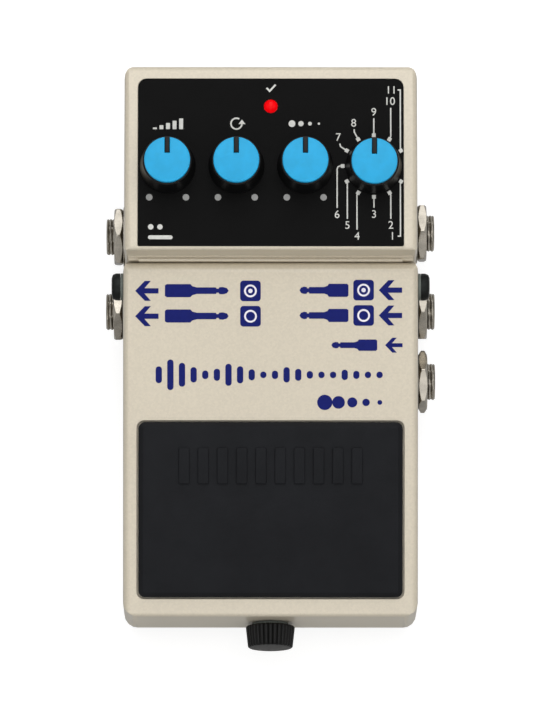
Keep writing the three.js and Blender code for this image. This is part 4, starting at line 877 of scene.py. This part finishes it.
class PEDAL_OT_dials(PedalPart, bpy.types.Operator):
    """Make the four dials: black skirts with pointers, and blue caps"""

    bl_idname = "pedal.dials"
    bl_label = "Dials"

    # Under the cap, inside the skirt, and the skirt's edges, flare and pointer
    skirt_drop, seat_radius, seat_depth = 1.2, 4.75, 0.7
    foot_gap, hollow_radius, hollow_depth = 0.4, 5.1, 1.0
    socket_radius, socket_depth = 3.15, 1.9
    plug_radius, plug_low, plug_high = 4.6, 1.75, 1.05
    foot_edge, shoulder, flare_start, flare_gap = 0.16, 0.28, 0.2, 0.3
    flare_inset, flare_power, brim_power = 0.06, 2.6, 1.5
    fin_side_gap, fin_end_gap, fin_corner, fin_root, fin_drop, fin_edge = 0.1, 0.12, 0.12, 0.8, 0.1, 0.08
    cap_edge, cap_foot_edge = 0.24, 0.06

    def execute(self, context):
        black = moulded_plastic("black_abs", self.colours.skirt, 0.42)
        blue = moulded_plastic("blue_abs", self.colours.cap, 0.36, 0.4, 0.004)
        for name in DIALS:
            height = self.sizes.mode_height if name == "mode" else self.sizes.pot_height
            place = shifted(panel_frame(), middle(f"{name}_knob")[0])
            body = f"{name}_dial"
            piece(f"{name}_skirt", self.skirt(height), black, body, [f"{name}_knob"], place)
            piece(f"{name}_blue_cap", self.cap(height), blue, body, [f"{name}_cap"], place)
        return {"FINISHED"}

    def skirt(self, height):
        """Revolved: a rolled foot, a flare r = waist + (foot - waist)(1 - t)^2.6, and a seat for the cap.

        The pointer is a fin that stands in the cap's slot.
        """
        sizes = self.sizes
        low, top = self.foot_gap, height - self.skirt_drop
        foot, waist, brim = sizes.skirt_foot, sizes.skirt_waist, sizes.skirt_top
        edge, shoulder = self.foot_edge, self.shoulder
        roll = np.linspace(-np.pi / 2, np.pi / 4, 7)
        foot_arc = np.column_stack([foot - edge + edge * np.cos(roll), low + edge + edge * np.sin(roll)])
        t = np.linspace(0, 1, 22)
        start = foot_arc[-1, 1] + self.flare_start
        spread = (foot - self.flare_inset - waist) * (1 - t) ** self.flare_power
        radius = waist + spread - (waist - brim) * t ** self.brim_power
        flare = np.column_stack([radius, start + (top - self.flare_gap - start) * t])
        bend = np.linspace(0, np.pi / 2, 6)
        brim_arc = np.column_stack([
            brim - shoulder + shoulder * np.cos(bend), top - shoulder + shoulder * np.sin(bend)
        ])
        inner, outer, ceiling = self.socket_radius, self.hollow_radius, low + self.hollow_depth
        inside = [(inner, top - self.socket_depth), (inner, ceiling), (outer, ceiling), (outer, low)]
        seat = [(self.seat_radius, top), (self.seat_radius, top - self.seat_depth)]
        half, gap = sizes.pointer_width / 2 - self.fin_side_gap, self.fin_end_gap
        root, tip = sizes.cap_radius - sizes.pointer_length + gap, sizes.cap_radius - gap
        fin = rounded(-half, half, root, tip, self.fin_corner, 4)
        return [
            revolve(np.vstack([inside, foot_arc, flare, brim_arc, seat]), 128),
            tower(fin, edge_levels(top - self.fin_root, height - self.fin_drop, self.fin_edge)),
        ]

    def cap(self, height):
        """A disc slotted for the pointer, with a rounded rim, on a plug that fills the seat."""
        plug = [(0, height - self.plug_low), (0, height - self.plug_high)]
        rim = edge_levels(height - self.sizes.cap_thickness, height, self.cap_edge, self.cap_foot_edge)
        return [tower(self.slotted(self.plug_radius), plug), tower(self.slotted(self.sizes.cap_radius), rim)]

    def slotted(self, radius):
        """A circle with a slot from its rear edge: the arc runs from one side of the slot to the other."""
        half = self.sizes.pointer_width / 2
        start = self.sizes.cap_radius - self.sizes.pointer_length
        gap = math.asin(half / radius)
        angle = np.linspace(np.pi / 2 + gap, np.pi / 2 + 2 * np.pi - gap, 96)
        return np.concatenate([ring(radius, 0.0, angle)[:, :2], [(half, start), (-half, start)]])


class PEDAL_OT_lamp(PedalPart, bpy.types.Operator):
    """Make the red indicator"""

    bl_idname = "pedal.lamp"
    bl_label = "Indicator"

    flange_radius, flange_low, flange_high = 1.95, -9.7, -8.5

    def execute(self, context):
        dome, tip = self.sizes.lamp_radius, self.sizes.lamp_rise
        t = np.linspace(0, np.pi / 2, 14)[:-1]
        flange = [(self.flange_radius, self.flange_low), (self.flange_radius, self.flange_high)]
        crown = np.column_stack([dome * np.cos(t), tip - dome + dome * np.sin(t)])
        lens = revolve(np.vstack([flange, [(dome, self.flange_high)], crown]), 64)
        along = (self.sizes.lamp_row - self.sizes.dial_row) / math.cos(math.radians(PANEL_TILT))
        red = lamp_lens(self.colours.lamp)
        place = shifted(panel_frame(), y=along)
        piece("indicator", [lens], red, "chassis", ["indicator_lens"], place)
        return {"FINISHED"}


# Treadle


class PEDAL_OT_pad(PedalPart, bpy.types.Operator):
    """Mould the rubber pad with its sloping edge and row of grips"""

    bl_idname = "pedal.pad"
    bl_label = "Pad"

    depth, side_height = 1.5, 0.35
    grip_count, grip_row, grip_corner, grip_root, grip_edge = 10, 10.127, 0.35, 0.3, 0.2

    def execute(self, context):
        sizes = self.sizes
        half, reach = sizes.pad_width / 2, sizes.pad_length / 2
        outline = rounded(-half, half, -reach, reach, sizes.pad_corner, 14)
        side, top, edge = self.side_height, sizes.pad_rise, sizes.pad_edge
        # Insets and heights: the upright side, its rounded corner, the slope, and the rounded top edge
        levels = [
            (0.0, -self.depth), (0.0, side - 0.12), (0.03, side - 0.02), (0.12, side + 0.09),
            (edge - 0.22, top - 0.16), (edge - 0.08, top - 0.05), (edge + 0.12, top),
        ]
        shapes = [tower(outline, levels)]
        wide, long, row = sizes.grip_width / 2, sizes.grip_length / 2, self.grip_row
        profile = edge_levels(top - self.grip_root, top + sizes.grip_rise, self.grip_edge)
        for i in range(self.grip_count):
            x = (i - (self.grip_count - 1) / 2) * sizes.grip_pitch
            grip = rounded(x - wide, x + wide, row - long, row + long, self.grip_corner, 5)
            shapes.append(tower(grip, profile))
        rubber = moulded_rubber("moulded_rubber", self.colours.pad)
        piece("rubber_pad", shapes, rubber, "treadle", ["treadle_pad"], pad_frame())
        return {"FINISHED"}


class PEDAL_OT_treadle_print(PedalPart, bpy.types.Operator):
    """Print the arrows and plain symbols on the treadle"""

    bl_idname = "pedal.treadle_print"
    bl_label = "Treadle marks"

    ink_lift, ring_lift = 0.01, 0.02
    arrow_length = 5.34
    square_half, square_corner = 2.36, 0.75
    ring_radius, ring_width, ring_dot = 1.25, 0.42, 0.5

    # Rows of the jacks: the arrow's tip, the middle of the square, the row's level and its double ring
    rows = (
        (-31.0, -4.63, 50.1, True),
        (-31.0, -4.61, 44.3, False),
        (24.75, 21.26, 50.3, True),
        (24.75, 21.28, 44.5, False),
    )
    # Plugs: left end, right end, level, height over the handle, and whether the tip points left
    plugs = (
        (-24.2, -9.6, 50.15, 3.0, False),
        (-24.2, -9.6, 44.35, 3.0, False),
        (6.6, 17.8, 50.25, 3.0, True),
        (6.6, 17.8, 44.5, 3.0, True),
        (13.9, 24.4, 37.7, 2.6, True),
    )

    def execute(self, context):
        top = shifted(pad_frame(), z=self.ink_lift)
        navy = screen_ink("navy_screen_ink", self.colours.ink)
        pale = screen_ink("pale_screen_ink", self.colours.pale)
        marks = self.squares() + [self.plug(*plug) for plug in self.plugs] + self.echo()
        marks += [self.arrow(tip, level) for tip, _, level, _ in self.rows] + [self.arrow(26.2, 37.7, 4.0)]
        piece("treadle_marks", marks, navy, "treadle", matrix=top)
        piece("treadle_rings", self.rings(), pale, "treadle", matrix=top)
        return {"FINISHED"}

    def arrow(self, tip, level, length=arrow_length):
        """An arrow that points left, with two slanting strokes for its head."""
        end = self.arrow_length
        half = [(2.2, -2.28), (3.58, -2.28), (2.12, -0.6), (end, -0.6)]
        shape = np.vstack([[(0, 0)], half, np.array(half)[::-1] * [1, -1]])
        return self.mark(shape * length / end + [tip, level])

    def plug(self, low, high, level, height, to_left):
        """A phone plug from the side: handle, sleeve, groove and tip, in shares of its length and height."""
        upper = np.array([
            (0.0, 0.4), (0.03, 0.5), (0.4, 0.5), (0.43, 0.34), (0.5, 0.25), (0.8, 0.25),
            (0.81, 0.15), (0.84, 0.15), (0.855, 0.26), (0.91, 0.28), (0.97, 0.2),
        ])
        shape = np.concatenate([upper * [1, -1], [(1.0, 0.0)], upper[::-1]])
        if to_left:
            shape = (shape * [-1, 1] + [1, 0])[::-1]
        return self.mark(shape * [high - low, height] + [low, level])

    def squares(self):
        """Rounded squares behind the rings."""
        half = self.square_half
        square = rounded(-half, half, -half, half, self.square_corner, 6)
        return [self.mark(square + [x, level]) for _, x, level, _ in self.rows]

    def rings(self):
        """A ring in each square, and a dot in the middle of the rings that stand for the second pair."""
        made = []
        inner, outer = self.ring_radius - self.ring_width / 2, self.ring_radius + self.ring_width / 2
        low, high = self.ring_lift, self.ring_lift + self.sizes.print_thickness
        band = revolve([(inner, low), (outer, low), (outer, high), (inner, high)], 48, closed=True)
        for _, x, level, double in self.rows:
            made.append(moved(band, x, level))
            if double:
                made.append(self.mark(disc(self.ring_dot, x, level, 28), self.ring_lift))
        return made

    def echo(self):
        """An echo that dies away: bars that repeat one beat ever lower, and five dots that shrink."""
        start, pitch, half, level, tallest, lowest = -25.6, 2.66, 0.72, 30.9, 3.5, 0.75
        dot_start, dot_pitch, dot_level, dot_radius, dot_step = 12.4, 3.15, 24.6, 1.75, 0.3
        beat = np.array([0.55, 1.0, 0.78, 0.5, 0.28])
        heights = np.concatenate([beat * fade for fade in (1.0, 0.72, 0.5, 0.34)])
        made = []
        for i, share in enumerate(heights):
            x, rise = start + i * pitch, max(lowest, tallest * share)
            made.append(self.mark(rounded(x - half, x + half, level - rise, level + rise, half - 0.02, 6)))
        for i in range(5):
            made.append(self.mark(disc(dot_radius - dot_step * i, dot_start + dot_pitch * i, dot_level)))
        return made


class PEDAL_OT_hinge_screws(PedalPart, bpy.types.Operator):
    """Finish the two domed hinge screws"""

    bl_idname = "pedal.hinge_screws"
    bl_label = "Hinge screws"

    def execute(self, context):
        steel = plated_metal("black_oxide_steel", linear("#2A2C2B"), 0.5)
        for side in ("left", "right"):
            dress(f"{side}_hinge_screw", steel, smooth=40)
        return {"FINISHED"}


class PEDAL_OT_thumbscrew(PedalPart, bpy.types.Operator):
    """Make the ribbed head of the thumbscrew"""

    bl_idname = "pedal.thumbscrew"
    bl_label = "Thumbscrew"

    rib_count, rib_depth = 30, 0.3
    base_radius, end_radius, edge = 5.7, 5.15, 0.45
    bore_radius, bore_depth = 2.45, 3.0

    def execute(self, context):
        wall = ends("treadle")[0][1]
        (_, far, _), (_, near, _) = ends("thumbscrew_head")
        head = self.head(wall - near, wall - far)
        black = moulded_plastic("black_nylon_grip", linear("#060606"), 0.4, 0.4)
        place = turn_x(90, wall, middle("thumbscrew_head")[2])
        nodes = ["thumbscrew_head"]
        piece("thumbscrew_grip", [head], black, "thumbscrew", nodes, place, sharp=50)
        return {"FINISHED"}

    def head(self, low, high):
        """A tapered grip, r = R(z) - d (1 - |sin (n a / 2)|^0.7), whose ribs fade into its rounded ends."""
        angle = circle(360)
        rib = 1 - np.abs(np.sin(angle * self.rib_count / 2)) ** 0.7
        edge = self.edge
        # The height of each ring, how far it shrinks, and its share of the ribs' depth
        t, s = np.linspace(0, np.pi / 2, 7), np.linspace(0.1, 0.9, 6)
        root = np.column_stack([low + edge * (1 - np.cos(t)), edge * (1 - np.sin(t)), np.sin(t)])
        straight = np.column_stack([low + edge + (high - low - 2 * edge) * s, 0 * s, 1 + 0 * s])
        fading = np.maximum(0, np.cos(t)) ** 0.8
        end = np.column_stack([high - edge * (1 - np.sin(t)), edge * (1 - np.cos(t)), fading])
        taper = (self.end_radius - self.base_radius) / (high - low)
        rings = [ring(self.bore_radius, low + self.bore_depth, angle), ring(self.bore_radius, low, angle)]
        for height, shrink, ribbing in np.vstack([root, straight, end]):
            radius = self.base_radius + taper * (height - low) - shrink - self.rib_depth * ribbing * rib
            rings.append(ring(radius, height, angle))
        return loft(rings)


# Sockets


class PEDAL_OT_jacks(PedalPart, bpy.types.Operator):
    """Make the five phone jacks: threaded bushes, hexagon nuts, washers and housings"""

    bl_idname = "pedal.jacks"
    bl_label = "Jacks"

    bush_radius, bore_radius, bush_tip, bush_root = 4.25, 3.25, 4.65, -2.4
    thread_start, thread_end, thread_step, thread_fade, thread_over = 0.08, 4.35, 0.099, 0.3, 0.1
    mouth_chamfer, mouth_round, mouth_in, mouth_down = 0.3, 0.35, 0.08, 0.12
    housing_half, housing_front, housing_rear, bore_floor = 5.5, -2.5, -26.5, -24.35
    nut_low, nut_high, nut_bore, nut_chamfer = 0.85, 2.85, 4.4, 0.62
    washer_inner, washer_outer, washer_low, washer_high = 4.4, 7.0, 0.1, 0.75

    def execute(self, context):
        nickel = plated_metal("bright_nickel", linear("#B1ABA0"), 0.22)
        black = moulded_plastic("black_phenolic", linear("#161616"), 0.45)
        wall = ends("chassis")[1][0]
        for name, turn in NUT_TURNS.items():
            x, y, z = middle(f"{name}_jack")
            place = side_frame(math.copysign(wall, x), y, z)
            parts = (
                ("bush", self.bush(), nickel, "jack", 32),
                ("housing", self.housing(), black, "jack", 32),
                ("hex_nut", self.nut(turn), nickel, "nut", 24),
                ("plain_washer", self.washer(), nickel, "washer", 32),
            )
            for part, shape, finish, node, sharp in parts:
                nodes = [f"{name}_{node}"]
                piece(f"{name}_{part}", [shape], finish, "chassis", nodes, place, sharp)
        return {"FINISHED"}

    def bush(self):
        """A tube with a thread outside: r = R - d |2 frac(z / pitch - a / 2 pi) - 1|, faded at its ends."""
        outer, bore, tip, root = self.bush_radius, self.bore_radius, self.bush_tip, self.bush_root
        angle = circle(72)
        steps = np.arange(self.thread_start, self.thread_end, self.thread_step)
        z = np.concatenate([[root, 0.0], steps, [self.thread_end]])[:, None]
        phase = z / self.sizes.thread_pitch - angle / (2 * np.pi)
        over = self.thread_end + self.thread_over - z
        fade = np.clip(over / self.thread_fade, 0, 1) * np.clip(z / self.thread_fade, 0, 1)
        radius = outer - self.sizes.thread_depth * fade * np.abs(2 * (phase - np.floor(phase)) - 1)
        mouth = np.array([
            (outer - self.mouth_chamfer, tip),
            (bore + self.mouth_round, tip),
            (bore + self.mouth_in, tip - self.mouth_down),
            (bore, tip - self.mouth_round),
            (bore, root),
        ])
        rings = [ring(radius, z, angle), ring(mouth[:, :1], mouth[:, 1:], angle)]
        return loft(np.concatenate(rings), closed=True)

    def housing(self):
        """A rounded square body, |x|^12 + |y|^12 = h^12, with a blind round bore from its front."""
        angle = circle(96)
        front, rear, bore, edge = self.housing_front, self.housing_rear, self.bore_radius, 0.3
        square = self.housing_half * (np.abs(np.cos(angle)) ** 12 + np.abs(np.sin(angle)) ** 12) ** (-1 / 12)
        return loft([
            ring(square - edge, rear, angle),
            ring(square, rear + edge, angle),
            ring(square, front - edge, angle),
            ring(square - edge, front, angle),
            ring(bore, front, angle),
            ring(bore, self.bore_floor, angle),
        ])

    def nut(self, turn):
        """A hexagon, r = f / cos(a mod 60 - 30), cut by a 30 degree cone at each face, with a bored hole."""
        angle = circle(216)
        flat = self.sizes.nut_flats / 2
        hexagon = flat / np.cos(np.radians(np.mod(np.degrees(angle) - turn, 60) - 30))
        low, high, bore, edge = self.nut_low, self.nut_high, self.nut_bore, 0.3
        rise = np.linspace(0, self.nut_chamfer, 10)[:, None]
        cone = np.minimum(hexagon, flat * 0.985 + rise / math.tan(math.radians(30)))
        hole = np.array([(bore + edge, high), (bore, high - edge), (bore, low + edge), (bore + edge, low)])
        rings = [
            ring(cone, low + rise, angle),
            ring(cone[::-1], high - rise[::-1], angle),
            ring(hole[:, :1], hole[:, 1:], angle),
        ]
        return loft(np.concatenate(rings), closed=True)

    def washer(self):
        """A flat ring with slightly rolled edges."""
        inner, outer, low, high = self.washer_inner, self.washer_outer, self.washer_low, self.washer_high
        edge, roll, bend = 0.14, 0.04, 0.05
        lower = [(outer - edge, low), (outer - roll, low + bend), (outer, low + edge)]
        upper = [(outer, high - edge), (outer - roll, high - bend), (outer - edge, high)]
        return revolve([(inner, low), *lower, *upper, (inner, high)], 96, closed=True)


class PEDAL_OT_power_socket(PedalPart, bpy.types.Operator):
    """Finish the power socket in the rear wall"""

    bl_idname = "pedal.power_socket"
    bl_label = "Power socket"

    def execute(self, context):
        dress("power_socket", moulded_plastic("black_socket_plastic", linear("#1B1C1E"), 0.4), smooth=30)
        return {"FINISHED"}


# Panel and registration

OPERATORS = (
    PEDAL_OT_stage,
    PEDAL_OT_castings,
    PEDAL_OT_base,
    PEDAL_OT_inside,
    PEDAL_OT_return_spring,
    PEDAL_OT_face_plate,
    PEDAL_OT_dials,
    PEDAL_OT_lamp,
    PEDAL_OT_pad,
    PEDAL_OT_treadle_print,
    PEDAL_OT_hinge_screws,
    PEDAL_OT_thumbscrew,
    PEDAL_OT_jacks,
    PEDAL_OT_power_socket,
)


class PEDAL_PT_panel(bpy.types.Panel):
    """Sizes, colours and steps of the pedal"""

    bl_idname = "PEDAL_PT_panel"
    bl_label = "Delay Pedal"
    bl_space_type = "VIEW_3D"
    bl_region_type = "UI"
    bl_category = "Pedal"

    def draw(self, context):
        layout = self.layout
        for group in (context.scene.pedal_sizes, context.scene.pedal_colours):
            box = layout.box()
            for name in group.__annotations__:
                box.prop(group, name)
        for operator in OPERATORS:
            layout.operator(operator.bl_idname)


CLASSES = (PedalSizes, PedalColours, *OPERATORS, PEDAL_PT_panel)


def register():
    """Registers the classes and hangs the two property groups on the scene."""
    for each in CLASSES:
        bpy.utils.register_class(each)
    bpy.types.Scene.pedal_sizes = bpy.props.PointerProperty(type=PedalSizes)
    bpy.types.Scene.pedal_colours = bpy.props.PointerProperty(type=PedalColours)


def unregister():
    """Takes them off again."""
    del bpy.types.Scene.pedal_sizes
    del bpy.types.Scene.pedal_colours
    for each in reversed(CLASSES):
        bpy.utils.unregister_class(each)


def main():
    """Makes every piece in order."""
    register()
    for operator in OPERATORS:
        group, name = operator.bl_idname.split(".")
        getattr(getattr(bpy.ops, group), name)()


if __name__ == "__main__":
    main()
